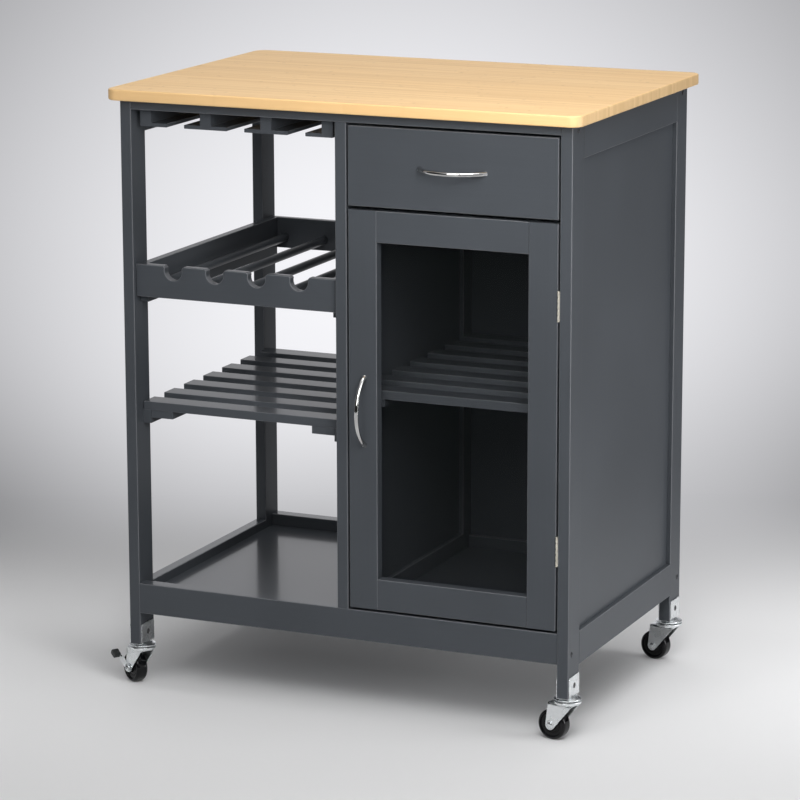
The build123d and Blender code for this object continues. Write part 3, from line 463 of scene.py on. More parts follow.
def slab(low, high, radius, edge):
    """Rows up the slab's edge: inset = edge * (1 - cos t), height = edge * (1 - sin t)."""
    curve = edge * edge_curve(8)
    profile = [(inset, high[2] - drop) for inset, drop in curve[::-1]]
    profile += [(inset, low[2] + lift) for inset, lift in curve]
    rows = []
    for inset, height in profile:
        loop = rounded_rectangle(low, high, radius, inset)
        rows.append(np.column_stack([loop, np.full(len(loop), height)]))
    return np.array(rows)


low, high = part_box("worktop")
piece("worktop_slab", [slab(low, high, corner_radius, arris)], "case", worktop_bamboo,
      "worktop", capped=True, smooth_angle=50)
print("worktop", [round(v, 3) for v in high - low])

# %% [markdown]
# ## Bow handles
#
# Each handle is a thin cast bow: a flat oval strap that swells into a round foot at each end. Near
# the feet the sections turn from square to the arc to flat on the door, so that the foot sits on it
# without a gap.

# %% Bow handles
strap_width, strap_depth = 5.4 * MM, 3.9 * MM
foot_radius, foot_inset, foot_start = 4.6 * MM, 3.9 * MM, 0.86


def bow(feet, out, reach, rows=61, around=28):
    """A tube whose middle line is the circle through both feet and the top of the reach.

    With half the chord h and rise s, the circle's radius is (h^2 + s^2) / 2s. The oval section
    grows into the round foot with the 5th power of the way from the middle."""
    start_foot, end_foot = (np.asarray(foot, float) for foot in feet)
    out = np.asarray(out, float)
    chord = end_foot - start_foot
    half, along = np.linalg.norm(chord) / 2, chord / np.linalg.norm(chord)
    rise = reach - strap_depth / 2
    radius = (half ** 2 + rise ** 2) / (2 * rise)
    reach_angle = math.asin(half / radius)
    way = np.linspace(-1, 1, rows)
    angle = way * reach_angle
    line = ((start_foot + end_foot) / 2 + np.sin(angle)[:, None] * radius * along
            + (np.cos(angle)[:, None] * radius - radius + rise) * out)
    tangent = np.cos(angle)[:, None] * along - np.sin(angle)[:, None] * out
    near = np.clip((np.abs(way) - foot_start) / (1 - foot_start), 0, 1)[:, None]
    near = near * near * (3 - 2 * near)
    facing = tangent * (1 - near) - np.sign(way)[:, None] * out * near
    facing = facing / np.linalg.norm(facing, axis=1)[:, None]
    side = np.cross(along, out)
    deep = np.cross(facing, side)
    grow = np.abs(way)[:, None] ** 5
    wide = strap_width / 2 * (1 - grow) + foot_radius * grow
    thick = strap_depth / 2 * (1 - grow) + foot_radius * grow
    turn = np.linspace(0, 2 * np.pi, around, endpoint=False)
    return (line[:, None] + (wide * np.cos(turn))[..., None] * side
            + (thick * np.sin(turn))[..., None] * deep[:, None])


def handle(name, node, body, upright):
    """A bow between two feet on the front of its board, as far out as its solid reaches."""
    low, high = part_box(node)
    middle = (low + high) / 2
    if upright:
        feet = [(middle.x, high.y, z) for z in (low.z + foot_inset, high.z - foot_inset)]
    else:
        feet = [(x, high.y, middle.z) for x in (low.x + foot_inset, high.x - foot_inset)]
    piece(name, [bow(feet, (0, -1, 0), high.y - low.y)], body, chrome, node, capped=True)
    return high - low


handle("drawer_bow", "drawer_handle", "drawer", upright=False)
reach = handle("door_bow", "door_handle", "door", upright=True)
print("handles", round(reach.z, 4), "long,", round(reach.y, 4), "out")

# %% [markdown]
# ## Rack end boards
#
# The front board of the wine rack has a round notch for each bottle's neck. A sharp edge would stay
# black, but the real one is sanded, so a thin light line follows every notch. The paint adds to it a
# paler grey on the arris, a painted highlight.

# %% Rack end boards
board_thickness, sanded = 12 * MM, 1.1 * MM
notch_count, notch_pitch = 4, 62.0 * MM
notch_depth, notch_radius, notch_flare = 19.3 * MM, 13.0 * MM, 2.7 * MM


def notch(middle, top, steps=18):
    """Points down one side of a notch, round its bottom and up the other side.

    The round part is an arc that ends within the flare of the top, and straight lines lean out
    from there."""
    centre_z = top - notch_depth + notch_radius
    reach = math.acos(np.clip((notch_radius - notch_depth + notch_flare) / notch_radius, -1, 1))
    turn = np.linspace(-reach, reach, steps)
    arc = np.column_stack([middle + notch_radius * np.sin(turn),
                           centre_z - notch_radius * np.cos(turn)])
    side = arc[-1, 0] - middle + notch_flare
    return np.concatenate([[(middle - side, top)], arc, [(middle + side, top)]])


def drawn_in(loop, inset):
    """Every point of a closed loop moved inwards along the mean of its two edges' normals."""
    before, after = loop - np.roll(loop, 1, axis=0), np.roll(loop, -1, axis=0) - loop
    normals = [np.column_stack([edge[:, 1], -edge[:, 0]]) / np.linalg.norm(edge, axis=1)[:, None]
               for edge in (before, after)]
    mean = normals[0] + normals[1]
    mean = mean / (1 + (normals[0] * normals[1]).sum(1))[:, None]
    return loop + inset * mean


def end_board(loop, y_span):
    """Rows from face to face: inset = sanded * (1 - sin t), depth = sanded * (1 - cos t)."""
    curve = sanded * edge_curve(5)[:, ::-1]
    rows = [(inset, y_span[0] + depth) for inset, depth in curve]
    rows += [(inset, y_span[1] - depth) for inset, depth in curve[::-1]]
    grid = []
    for inset, y in rows:
        drawn = drawn_in(loop, inset)
        grid.append(np.column_stack([drawn[:, 0], np.full(len(drawn), y), drawn[:, 1]]))
    return np.array(grid)


low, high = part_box("rack_end_boards")
middle = (low.x + high.x) / 2
bottom = [(high.x, low.z), (low.x, low.z)]
notches = [notch(middle + (number - (notch_count - 1) / 2) * notch_pitch, high.z)
           for number in range(notch_count)]
notched = np.concatenate([[(low.x, high.z)]] + notches + [[(high.x, high.z)], bottom])
plain = np.array([(low.x, high.z), (high.x, high.z)] + bottom)
piece("rack_boards", [end_board(notched, (low.y, low.y + board_thickness))], "case", paints["x"],
      "rack_end_boards", capped=True, smooth_angle=40)
piece("rack_rear_board", [end_board(plain, (high.y - board_thickness, high.y))], "case",
      paints["x"], "rack_end_boards", capped=True, smooth_angle=40)
print("rack boards", round(high.x - low.x, 4), "long")

# %% [markdown]
# ## Rack rods
#
# Five round rods carry the bottles. They are turned wood under the same paint as the boards.

# %% Rack rods
low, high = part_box("rack_rods")
rod_radius, rod_count = 6 * MM, 5
rod_length = high.y - low.y
rod_profile = rounded([(0, 0), (rod_radius, 0), (rod_radius, rod_length), (0, rod_length)],
                      [0.6 * MM] * 2)
rod_lines = np.linspace(low.x + rod_radius, high.x - rod_radius, rod_count)
rods = [revolved(rod_profile, (x, low.y, low.z + rod_radius), (0, 1, 0)) for x in rod_lines]
piece("bottle_rods", rods, "case", rod_paint, "rack_rods")
print("rods", rod_count)

# %% [markdown]
# ## Screws
#
# The case is held by cross-head screws sunk in the posts and in the glass hangers, and each caster
# clip by two round-head ones. A head is a turned surface whose first rows are pushed down along a
# cross: angle and radius give the depth.

# %% Cross-head screws
head_rows = 14


def recessed(rows, profile, axis, reach, depth, width, arms):
    """The first rows sunk by depth * smooth(width - distance to the nearest arm) inside a reach."""
    radius = np.asarray(profile)[:, 0][:, None]
    turn = np.linspace(0, 2 * np.pi, rows.shape[1], endpoint=False)[None, :]
    away = np.abs(radius * np.sin(turn))
    if arms == 4:
        away = np.minimum(away, np.abs(radius * np.cos(turn)))
    arm = np.clip((width - away) / (0.4 * width), 0, 1)
    inside = np.clip((reach - radius) / (0.2 * reach), 0, 1)
    first = (np.arange(len(profile)) < head_rows)[:, None]
    push = depth * np.minimum(arm, inside) * first
    return rows - push[..., None] * axes_about(axis)[2]


def screw(place, axis, head, height, length, domed, shank=1.9 * MM, arms=4):
    """A screw with its head's top at a place, and the axis pointing out of what it holds."""
    across = np.linspace(0, 1, head_rows)
    drop = (0.6 if domed else 0.05) * height
    rim = 0.9 * head
    top = np.column_stack([across * rim, -drop * across ** 2])
    body = rounded([(rim, -drop), (head, -drop - 0.15 * height), (head, -height), (shank, -height),
                    (shank, -length), (0, -length)], [0.05 * height] * 4, steps=3)
    profile = np.concatenate([top, body[1:]])
    rows = revolved(profile, place, axis, 64)
    return recessed(rows, profile, axis, 0.66 * head, 0.5 * height, 0.13 * head, arms)


post_low, post_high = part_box("corner_posts")
post_width, post_depth = 16 * MM, 40 * MM
case_screw = {"head": 3.5 * MM, "height": 1.6 * MM, "length": 39 * MM, "domed": False}
hanger_screw = {**case_screw, "length": 20 * MM}
sunk = []
for x, way in ((post_low.x + 1 * MM, -1), (post_high.x - 1 * MM, 1)):
    for inset, z in ((11.5 * MM, 121 * MM), (19.5 * MM, post_high.z - 8 * MM)):
        for y in (post_low.y + inset, post_high.y - inset):
            sunk.append(screw((x, y, z), (way, 0, 0), **case_screw))
low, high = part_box("stem_blocks")
plate_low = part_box("stem_plates")[0].z
for x in np.linspace(low.x + 8 * MM, high.x - 8 * MM, 4):
    for y in (low.y + 25 * MM, high.y - 25 * MM):
        sunk.append(screw((x, y, plate_low), (0, 0, -1), **hanger_screw))
# The post and hanger screw heads carry the painted shade.
piece("sunk_screws", sunk, "case", painted_shade_steel, "case_screws")
print("sunk screws", len(sunk))

# %% [markdown]
# ## Hinges
#
# Two small butt hinges show only their barrels in the narrow slot between door and post. The
# knuckles are rolled from thin brass, each a little fatter in its middle than at its ends. Odd
# knuckles belong to the case and even ones to the door.

# %% Hinges
hinge_length, knuckle_count, knuckle_radius = 38.5 * MM, 5, 1.3 * MM
knuckle_gap, leaf_setback, leaf_sheet = 0.3 * MM, 0.5 * MM, 0.9 * MM
knuckle = (hinge_length - (knuckle_count - 1) * knuckle_gap) / knuckle_count
low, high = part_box("hinge_case_leaves")
hinge_line = sum(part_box("hinge_pins"), Vector()) / 2
hinge_bottoms = [low.z, high.z - hinge_length]


def hinge_side(body, plate_x, first):
    """The plates and every second knuckle: radius = r * (1 - 0.45 * |2h / length - 1|^3)."""
    node = f"hinge_{body}_leaves"
    height = np.linspace(0, 1, 15)
    radius = knuckle_radius * (1 - 0.45 * np.abs(2 * height - 1) ** 3)
    turned = np.column_stack([[0, *radius, 0], np.array([0, *height, 1]) * knuckle])
    grids = []
    plate_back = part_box(node)[1].y
    for bottom in hinge_bottoms:
        grids.append(slab((plate_x, hinge_line.y + leaf_setback, bottom),
                          (plate_x + leaf_sheet, plate_back, bottom + hinge_length),
                          0.2 * MM, 0.15 * MM))
        for number in range(first, knuckle_count, 2):
            base = (hinge_line.x, hinge_line.y, bottom + number * (knuckle + knuckle_gap))
            grids.append(revolved(turned, base, (0, 0, 1), 28))
    piece(f"hinge_{body}_side", grids, body, brass, node, capped=True)


hinge_side("case", high.x - leaf_sheet, 0)
hinge_side("door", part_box("drawer_front")[1].x, 1)
print("hinge knuckles", 2 * knuckle_count)

# %% [markdown]
# ## Casters
#
# A caster is a small machine of pressed steel. A clip of bent sheet holds the foot of the post,
# its race and the crown of the fork hold the ring of balls between them, and the wheel turns on a
# rivet behind the stem. Each caster is laid out in its own directions, along its trail, across it
# and up, and one function carries these into the room.

# %% Where each caster stands
caster_height = 63 * MM
clip_sheet, race_thickness, race_gap = 1.2 * MM, 4 * MM, 1.6 * MM
clip_low = caster_height - clip_sheet
race_low = clip_low - race_thickness
crown_top = race_low - race_gap
crown_low = crown_top - 4.2 * MM
trail, wheel_radius = 20.6 * MM, 20.6 * MM
headings = {"front_left": (0, 0, 148.0, True), "front_right": (1, 0, 169.0, False),
            "rear_left": (0, 1, 155.0, True), "rear_right": (1, 1, 169.5, False)}


class Caster:
    """The place and directions of one caster, and the way from its own frame into the room."""

    def __init__(self, name):
        side, end, heading, self.braked = headings[name]
        self.name = name
        x = (post_low.x + post_width / 2, post_high.x - post_width / 2)[side]
        y = (post_low.y + post_depth / 2, post_high.y - post_depth / 2)[end]
        self.stem = np.array([x, y, 0.0])
        turn = math.radians(heading)
        self.ahead = np.array([math.cos(turn), math.sin(turn), 0.0])
        self.across = np.array([-math.sin(turn), math.cos(turn), 0.0])
        self.axle = self.stem + trail * self.ahead + np.array([0.0, 0.0, wheel_radius])

    def place(self, along, across, up):
        """Points at these distances from the stem: along the trail, across it and up."""
        return (self.stem + np.asarray(along)[..., None] * self.ahead
                + np.asarray(across)[..., None] * self.across
                + np.asarray(up)[..., None] * np.array([0.0, 0.0, 1.0]))


casters = [Caster(name) for name in headings]
print("casters", [caster.name for caster in casters])

# %% [markdown]
# ## Wheels
#
# A solid nylon wheel has a rounded tread, a hollow ring in each side that saves material, a raised
# bead inside it, and a hub that reaches the fork: one profile turned about the axle.

# %% Wheels
bore = 3.05
side_profile = rounded_mm([(bore, 9.4), (6.6, 9.4), (7.4, 5.9), (10.6, 5.6), (11, 6.3),
                           (12.2, 6.3), (12.6, 5.6), (15.9, 5.9), (16.7, 8.7), (18.2, 8.7),
                           (20.6, 6.6), (20.6, 0)],
                          [0.8, 0.9, 0.25, 0.3, 0.3, 0.25, 0.6, 0.5, 0.7, 1.9], steps=4)
wheel_profile = np.concatenate([side_profile[:-1] * (1, -1), side_profile[::-1]])
for caster in casters:
    piece(f"tyre_{caster.name}", [revolved(wheel_profile, caster.axle, caster.across, 72)],
          f"roller_{caster.name}", nylon, f"wheel_{caster.name}", loop=True)
print("wheel profile points", len(wheel_profile))

# %% [markdown]
# ## Forks
#
# The fork is one strip of steel folded into a saddle. From the side a cheek is a triangle with a
# round toe, so at each height the strip has a front and a back edge. The strip's path and these
# edges give a grid, a Solidify modifier gives it thickness, and a small bevel makes the cut edges
# catch the light.

# %% Forks
cheek, bend, toe = 10.45 * MM, 2.6 * MM, 6.6 * MM
fork_sheet, cut_edge = 1.5 * MM, 0.35 * MM
cheek_front, cheek_back = -13 * MM, 24 * MM
saddle = crown_low - fork_sheet / 2


def tangent_edge(corner, way):
    """Where the straight edge from an upper corner touches the toe circle, as (along, up)."""
    middle = np.array([trail, wheel_radius])
    reach = middle - corner
    distance = np.hypot(*reach)
    angle = math.atan2(reach[1], reach[0]) + way * math.asin(toe / distance)
    length = math.sqrt(distance ** 2 - toe ** 2)
    return corner + length * np.array([math.cos(angle), math.sin(angle)])


def cheek_edge(up, corner, way):
    """The cheek's edge at each height: the straight edge above the tangent point, the toe below."""
    touch = tangent_edge(np.asarray(corner), way)
    straight = corner[0] + (corner[1] - up) / (corner[1] - touch[1]) * (touch[0] - corner[0])
    lift = np.clip(1 - ((up - wheel_radius) / toe) ** 2, 0, 1)
    return np.where(up > touch[1], straight, trail + way * toe * np.sqrt(lift))


def fork_rows(caster):
    """Rows from one toe up over the saddle to the other: (edge to edge along, offset, height)."""
    low_part = wheel_radius - toe + toe * edge_curve(12)[:, 0]
    high_part = np.linspace(wheel_radius, saddle - bend, 12)[1:]
    upright = np.append(low_part, high_part)
    side = np.concatenate([np.column_stack([np.full(len(upright), cheek), upright]),
                           (cheek, saddle) - bend * edge_curve(7)[1:]])
    path = np.concatenate([side * (-1, 1), side[::-1]])
    up = path[:, 1]
    first = cheek_edge(up, (cheek_front, saddle), -1)
    last = cheek_edge(up, (cheek_back, saddle), 1)
    t = np.linspace(0, 1, 17)[None, :]
    along = first[:, None] * (1 - t) + last[:, None] * t
    wide = np.broadcast_to(path[:, :1], along.shape)
    return caster.place(along, wide, np.broadcast_to(up[:, None], along.shape))


def bevel(made, width):
    """A rounding of the sharp cut edges."""
    soft = made.modifiers.new("edges", "BEVEL")
    soft.width, soft.segments, soft.limit_method = width, 2, "ANGLE"
    soft.angle_limit = math.radians(50)


crown_profile = rounded_mm([(bore, 50.5), (13, 50.5), (18.2, 52.6), (18.5, 56.2), (bore, 56.2)],
                           [0.5, 1.2, 0.9], steps=4)
for caster in casters:
    body = f"swivel_{caster.name}"
    sheet = piece(f"cheeks_{caster.name}", [fork_rows(caster)], body, zinc,
                  f"fork_{caster.name}", ring=False, thickness=fork_sheet)
    bevel(sheet, cut_edge)
    piece(f"crown_{caster.name}", [revolved(crown_profile, caster.stem, (0, 0, 1), 64)], body, zinc,
          f"fork_{caster.name}", loop=True)
print("fork points", fork_rows(casters[0]).shape)

# %% [markdown]
# ## Axles
#
# A plain caster turns on a rivet with a domed head in a punched ring. A braked one has a slotted
# bolt, which also carries the lever.

# %% Axles
outer_face = 11.2 * MM
lever_sheet, running = 1.5 * MM, 0.3 * MM
bolt_head = 3 * MM
dome, dome_bends = [(0, 1.5), (2.4, 1.3), (4.2, 0.5), (4.2, 0.0), (3.0, 0.0)], [1.2, 0.8, 0.2]
ring = rounded_mm([(5.0, -0.1), (5.2, 0.45), (6.0, 0.5), (6.2, -0.1)], [0.2, 0.2])
for caster in casters:
    outer = outer_face + (lever_sheet + 2 * running if caster.braked else 0)
    length = outer + outer_face
    near_end = caster.axle + caster.across * outer
    far_end = caster.axle - caster.across * outer_face
    far = revolved(rounded_mm(dome, dome_bends), far_end, -caster.across, 40)
    rings = [revolved(ring, far_end, -caster.across, 40)]
    if caster.braked:
        pin = screw(near_end + caster.across * bolt_head, caster.across, 5 * MM, bolt_head,
                    length + bolt_head, True, shank=3 * MM, arms=2)
    else:
        pin = revolved(rounded_mm(dome + [(3.0, -length / MM)], dome_bends + [0.1]), near_end,
                       caster.across, 40)
        rings.append(revolved(ring, near_end, caster.across, 40))
    piece(f"rivet_{caster.name}", [pin, far] + rings, f"swivel_{caster.name}", zinc,
          f"axle_{caster.name}", smooth_angle=40)
print("axles", len(casters))

# %% [markdown]
# ## Brake levers
#
# The lever is a stamped strip with a rib pressed along it, and a ribbed pad is moulded on its end.
# The strip's half width and its pressed depth are functions of the way along it. The pad's outline
# is drawn across its width.

# %% Brake levers and pads
slope = math.radians(31.0)
arm_reach, pad_reach = 18 * MM, 29.4 * MM
hub_half, end_half, tongue_half = 6.2 * MM, 5 * MM, 1.5 * MM
rib_middle, rib_reach, rib_half, rib_height = 12 * MM, 5.5 * MM, 2 * MM, 0.9 * MM


def tipped(caster, along, out, up):
    """Points of a flat lever at the axle, tipped up by the slope."""
    return caster.place(trail + along * math.cos(slope) - up * math.sin(slope), out,
                        wheel_radius + along * math.sin(slope) + up * math.cos(slope))


def lever(caster):
    """Rows along the strip: round about the bolt and at the far end, then a narrow tongue.

    The pressed rib is h * exp(-(a / length)^2) * exp(-(b / width)^2) high."""
    way = np.linspace(-hub_half, pad_reach, 60)
    straight = hub_half + (end_half - hub_half) * np.clip(way / arm_reach, 0, 1)
    hub = np.sqrt(np.clip(hub_half ** 2 - np.minimum(way, 0) ** 2, 0, None))
    end = np.sqrt(np.clip(end_half ** 2 - np.maximum(way - arm_reach, 0) ** 2, 0, None))
    half_width = np.maximum(np.minimum(np.minimum(straight, hub), end),
                            np.where(way > arm_reach, tongue_half, 0))
    beside = half_width[:, None] * np.linspace(-1, 1, 13)
    way = way[:, None]
    rib = np.exp(-((way - rib_middle) / rib_reach) ** 2) * np.exp(-(beside / rib_half) ** 2)
    out = outer_face + running + lever_sheet / 2 + rib_height * rib
    return tipped(caster, way, out, beside)


def pad(caster, length=11.5 * MM, height=8 * MM, width=10 * MM, pitch=2.4 * MM, cut=0.9 * MM,
        soft=1.1 * MM):
    """A superellipse |u|^4.4 + |v|^4.4 = 1 with ribs on its upper side, rounded at both ends."""
    way = np.linspace(0, 2 * np.pi, 120, endpoint=False)
    u = np.sign(np.cos(way)) * np.abs(np.cos(way)) ** 0.45 * length / 2
    v = np.sign(np.sin(way)) * np.abs(np.sin(way)) ** 0.45 * height / 2
    ribs = cut * (0.5 + 0.5 * np.cos(2 * np.pi * u / pitch)) ** 0.7
    v = v - ribs * np.clip((v - 0.35 * height) / (0.15 * height), 0, 1)
    curve = soft * edge_curve(6)
    inset = np.append(curve[:, 1], curve[::-1, 1])[:, None]
    out = np.append(curve[:, 0], width - curve[::-1, 0])[:, None]
    along = u * (1 - inset / (length / 2)) + pad_reach
    up = v * (1 - inset / (height / 2))
    return tipped(caster, along, outer_face + running + out + 0 * along, up)


for caster in casters:
    if caster.braked:
        body = f"brake_{caster.name}"
        strip = piece(f"lever_{caster.name}", [lever(caster)], body, zinc,
                      f"brake_arm_{caster.name}", ring=False, thickness=lever_sheet)
        bevel(strip, cut_edge)
        piece(f"foot_pad_{caster.name}", [pad(caster)], body, dull_plastic,
              f"brake_pad_{caster.name}", capped=True)
print("brake levers", sum(caster.braked for caster in casters))

# %% [markdown]
# ## Caster clips
#
# A clip is a strip of sheet bent into a U round the foot of the post, with rounded upper corners.
# The race under it is a dished ring. Both stay with the case when the fork turns.

# %% Caster clips
clip_height, clip_half_depth, clip_corner, clip_bend = 28 * MM, 18 * MM, 4 * MM, 0.9 * MM


def clip_rows(caster):
    """Rows down one flange, under the post and up the other; half depth shrinks in the corners."""
    x = post_width / 2 + clip_sheet / 2
    top, bottom = caster_height + clip_height, clip_low + clip_sheet / 2
    down = np.append(top - clip_corner * edge_curve(8)[:, 0],
                     np.linspace(top - clip_corner, bottom + clip_bend, 8)[1:])
    side = np.concatenate([np.column_stack([np.full(len(down), x), down]),
                           (x, bottom) + clip_bend * edge_curve(5)[1:] * (-1, 1)])
    path = np.concatenate([side * (-1, 1), side[::-1]])
    inside = np.clip(clip_corner - (top - path[:, 1]), 0, None)
    depth = clip_half_depth - clip_corner + np.sqrt(clip_corner ** 2 - inside ** 2)
    rows = np.zeros((len(path), 15, 3))
    rows[..., 0] = caster.stem[0] + path[:, :1]
    rows[..., 1] = caster.stem[1] + depth[:, None] * np.linspace(-1, 1, 15)
    rows[..., 2] = path[:, 1:]
    return rows


race_profile = rounded_mm([(bore, 57.8), (18.3, 57.8), (18.5, 59.4), (11, 61.8), (bore, 61.8)],
                          [0.8, 0.6, 1.5], steps=4)
clips = piece("clip_sheets", [clip_rows(caster) for caster in casters], "case", zinc,
              "caster_clips", ring=False, thickness=clip_sheet)
bevel(clips, 0.3 * MM)
piece("clip_races", [revolved(race_profile, caster.stem, (0, 0, 1), 64) for caster in casters],
      "case", zinc, "caster_clips", loop=True)

clip_screw = {"head": 3.8 * MM, "height": 1.1 * MM, "length": 9 * MM, "domed": True}
screw_out, screw_up = post_width / 2 + clip_sheet + clip_screw["height"], 77.3 * MM
clip_screws = [screw(caster.stem + (way * screw_out, 0, screw_up), (way, 0, 0), **clip_screw)
               for caster in casters for way in (-1, 1)]
# The clip screw heads carry the painted shade as well.
piece("clip_screw_heads", clip_screws, "case", painted_shade_steel, "caster_screws")
print("clip screws", len(clip_screws))

# %% [markdown]
# ## Finishes for the solids that stay
#
# Boards, panels, glass and hidden fittings keep their solid shapes. Each gets the paint whose grain
# runs along it, or its own metal or plastic.

# %% Finishes for the solids
finishes = {
    paints["x"]: ["top_rails", "bottom_rails", "drawer_front", "drawer_back", "door_rails",
                  "bay_shelf_slats", "cabinet_shelf_slats"],
    paints["y"]: ["side_rails", "partition_rails", "rack_side_boards", "stem_blocks", "stem_plates",
                  "cleats", "shelf_battens", "drawer_sides", "drawer_runners"],
    paints["z"]: ["corner_posts", "centre_posts", "door_stiles"],
    paints[None]: ["side_panel", "partition_panel", "back_panel", "bottom_panels", "drawer_bottom"],
    clear: ["door_glass"],
    steel: ["drawer_handle_screws", "door_handle_screws", "caster_kingpins", "caster_balls",
            "magnet_strike", "glass_clips"],
    brass: ["hinge_pins"],
    dull_plastic: ["magnet_catch"],
}
for finish, names in finishes.items():
    for name in names:
        node = bpy.data.objects[name]
        for holder in node.material_slots:
            holder.material = finish
        if not node.material_slots:
            node.data.materials.append(finish)
print("nodes finished", sum(len(names) for names in finishes.values()))

# %% [markdown]
# ## Floor, backdrop and light
#
# The island stands in a white studio: a floor that bends up into a wall, so no line shows where
# they meet. A white room is more than a background here, because the satin paint and the chrome
# show it. So the stage has a glow that is seen directly, in gloss and through glass, but that
# lights nothing, and the world is brighter to these than as a light. The lamps set the shadows.


# %% The glow that only looking finds
def looking(signal):
    """1 for the rays of the eye, of gloss and of glass, and 0 for those that carry light."""
    rays = signal.node("ShaderNodeLightPath", {}, out="Is Camera Ray")
    for kind in ("Is Glossy Ray", "Is Transmission Ray"):
        rays = rays.larger(signal.node("ShaderNodeLightPath", {}, out=kind))
    return rays


def stage_white():
    """Pale grey that takes the shadow, with a glow that only the eye, gloss and glass see.

    The glow is a sum of soft hills a * exp(-d^2), where d is the scaled distance from a middle.
    Towards the front the grey is painted darker, a painted shade. Towards the wall it fades out and
    the glow takes over. Beside the picture the glow is even. Seen from behind the stage is clear."""
    made, place = start("stage_white")

    def hill(middle, reach, height):
        vector = "ShaderNodeVectorMath"
        away = place.node(vector, {0: place, 1: middle}, operation="SUBTRACT")
        away = away.node(vector, {0: away, 1: tuple(1 / r for r in reach)}, operation="MULTIPLY")
        square = away.node(vector, {0: away, 1: away}, out="Value", operation="DOT_PRODUCT")
        return (square * -1).as_exponent_of(math.e) * height

    sideways, depth, up = place.parts()
    left, right = (sideways * -1).step(0.85, 1.8), sideways.step(0.85, 1.8)
    front, above = (depth * -1).step(1.2, 3.0), up.step(1.0, 2.0)
    around = left.larger(right * (1 - depth.step(0.0, 1.0))).larger(front.larger(above))
    glow = (hill((-0.216, 1.0, 0.204), (0.561, 0.359, 0.2), 1.405)
            + hill((0.01, 1.76, 0.149), (1.108, 0.473, 1.053), 0.975)
            + hill((0.512, 0.954, 0.192), (0.4, 0.45, 0.3), 0.51)
            + hill((2.0, 0.9, 0.0), (0.9, 0.9, 0.7), 0.3) + around * 0.35)
    # Painted shade: the grey is darker towards the front, standing in for the light falling off
    # there.
    near = blend(depth.step(-0.6, -0.05), (0.59, 0.59, 0.595, 1), (0.81, 0.81, 0.816, 1))
    grey = blend(depth.step(0.2, 1.0), near, (0, 0, 0, 1))
    shown = place.node("ShaderNodeBsdfPrincipled",
                       {"Base Color": grey, "Roughness": 0.9, "Specular IOR Level": 0.0,
                        "Emission Color": (1.0, 1.0, 1.035, 1),
                        "Emission Strength": glow * looking(place)})
    behind = place.node("ShaderNodeNewGeometry", {}, out="Backfacing")
    both = place.node("ShaderNodeMixShader",
                      {0: behind, 1: shown, 2: place.node("ShaderNodeBsdfTransparent", {})})
    place.node("ShaderNodeOutputMaterial", {"Surface": both})
    return made


pale_stage = stage_white()
print("stage nodes", len(pale_stage.node_tree.nodes))

# %% [markdown]
# Floor and wall are two sheets drawn along a profile, and turned so that they face the camera.


# %% Floor, wall and world
stage_width, wall_top = 28.0, 9.0
wall_near, wall_radius = 1.0, 0.8


def staged(name, points, faces, material):
    """A mesh of the stage, whose second axis points away from the camera."""
    made = added(name, points, faces, material)
    made.rotation_euler.z = yaw
    return made


def stage_sheet(name, profile):
    """A pale sheet that follows a (depth, height) profile."""
    rows = np.zeros((len(profile), 2, 3))
    rows[..., 0] = [-stage_width / 2, stage_width / 2]
    rows[..., 1:] = np.asarray(profile)[:, None, :]
    faces = quads(rows, False, False).tolist()
    return staged(name, rows.reshape(-1, 3).tolist(), faces, pale_stage)


stage_sheet("floor", [(-stage_width / 2, 0), (stage_width / 2, 0)])
bend_up = [(wall_near + wall_radius * math.sin(t), 0.0005 + wall_radius * (1 - math.cos(t)))
           for t in np.linspace(0, np.pi / 2, 24)]
wall = stage_sheet("wall", bend_up + [(wall_near + wall_radius, wall_top)])
wall.visible_diffuse = wall.visible_shadow = False

world = bpy.data.worlds.new("studio")
bpy.context.scene.world = world
world.use_nodes = True
sky = world.node_tree.nodes["Background"]
sky.inputs["Color"].default_value = (1.0, 1.0, 1.02, 1)
strength = looking(Signal(world.node_tree)) * 0.47 + 0.16
world.node_tree.links.new(strength.socket, sky.inputs["Strength"])
bpy.context.scene.view_settings.view_transform = "Standard"
print("floor, wall and world")

# %% [markdown]
# ## Flags
#
# Bright metal looks like metal only where it has something dark to mirror. So a photographer stands
# dark cards, called flags, beside the camera: here a high one on the left, and a low one on the
# right that leaves the room above it bright. Only gloss sees them.

# %% Flags
flag_card = cloudy("flag_card", (0.02, 0.02, 0.016), (0.03, 0.03, 0.025), rough=0.8, scale=2.0)


def flag(name, near, far, top):
    """An upright card between two places on the floor of the stage, as high as its top."""
    corners = [(*near, 0.02), (*far, 0.02), (*far, top), (*near, top)]
    made = staged(name, corners, [(0, 1, 2, 3)], flag_card)
    made.visible_camera = made.visible_diffuse = made.visible_shadow = False
    made.visible_transmission = False
    return made


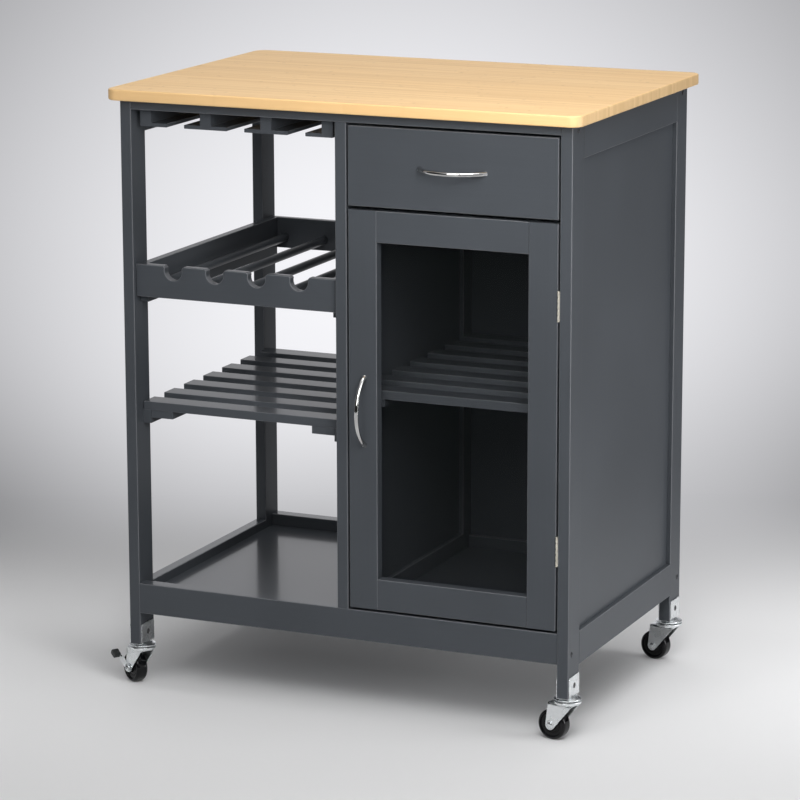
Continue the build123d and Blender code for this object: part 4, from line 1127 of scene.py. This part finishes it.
flags = [flag("flag_left", (-3.5, 0.5), (-3.5, -5.2), 4.5),
         flag("flag_middle", (-3.5, -5.2), (-1.3, -5.2), 4.5),
         flag("flag_right", (-1.3, -5.2), (6.5, -5.2), 1.9)]
print("flags", len(flags))

# %% [markdown]
# ## Lamps
#
# A large soft lamp overhead gives the shadow under the case, and smaller ones in front and at the
# right model its faces. Weak ones behind and at the left keep the other sides readable. Lamps whose
# image would show as a spot in the paint are hidden from gloss.


# %% Lamps
def soft_lamp(name, place, aim, size, power, mirrored=True):
    """A square area lamp of a size in metres and a power in watts that looks at a point."""
    lamp = bpy.data.lights.new(name, "AREA")
    lamp.shape, lamp.size, lamp.energy = "SQUARE", size, power
    made = bpy.data.objects.new(name, lamp)
    bpy.context.scene.collection.objects.link(made)
    made.location = place
    made.rotation_mode = "QUATERNION"
    made.rotation_quaternion = (Vector(place) - Vector(aim)).to_track_quat("Z", "Y")
    made.visible_camera, made.visible_glossy = False, mirrored


soft_lamp("overhead", (0.3, 0.2, 2.8), (0, 0, 0.4), 2.0, 34.5)
soft_lamp("front", (0.2, -1.6, 1.2), (0.1, -0.2, 0.5), 0.8, 7)
soft_lamp("front_high", (0.0, -2.2, 2.5), (0.1, -0.2, 0.5), 1.0, 8)
soft_lamp("near_right", (0.75, -0.9, 1.0), (0.2, -0.2, 0.65), 0.5, 5.7, mirrored=False)
soft_lamp("near_top_right", (0.6, -0.75, 1.25), (0.25, -0.2, 0.7), 0.4, 1.9)
soft_lamp("high_right", (0.95, -1.0, 1.7), (0.2, -0.2, 0.6), 0.9, 3.5)
soft_lamp("low_right", (1.7, 0.1, 0.35), (0.33, 0, 0.2), 0.6, 9)
soft_lamp("behind_left", (-1.6, 2.2, 1.4), (-0.1, 0.1, 0.4), 1.4, 3)
soft_lamp("behind", (0.1, 2.3, 0.3), (0.0, 0.2, 0.5), 0.6, 8, mirrored=False)
soft_lamp("left", (-2.0, -0.1, 0.3), (-0.35, 0.0, 0.5), 0.6, 5, mirrored=False)
print("lamps", len(bpy.data.lights))
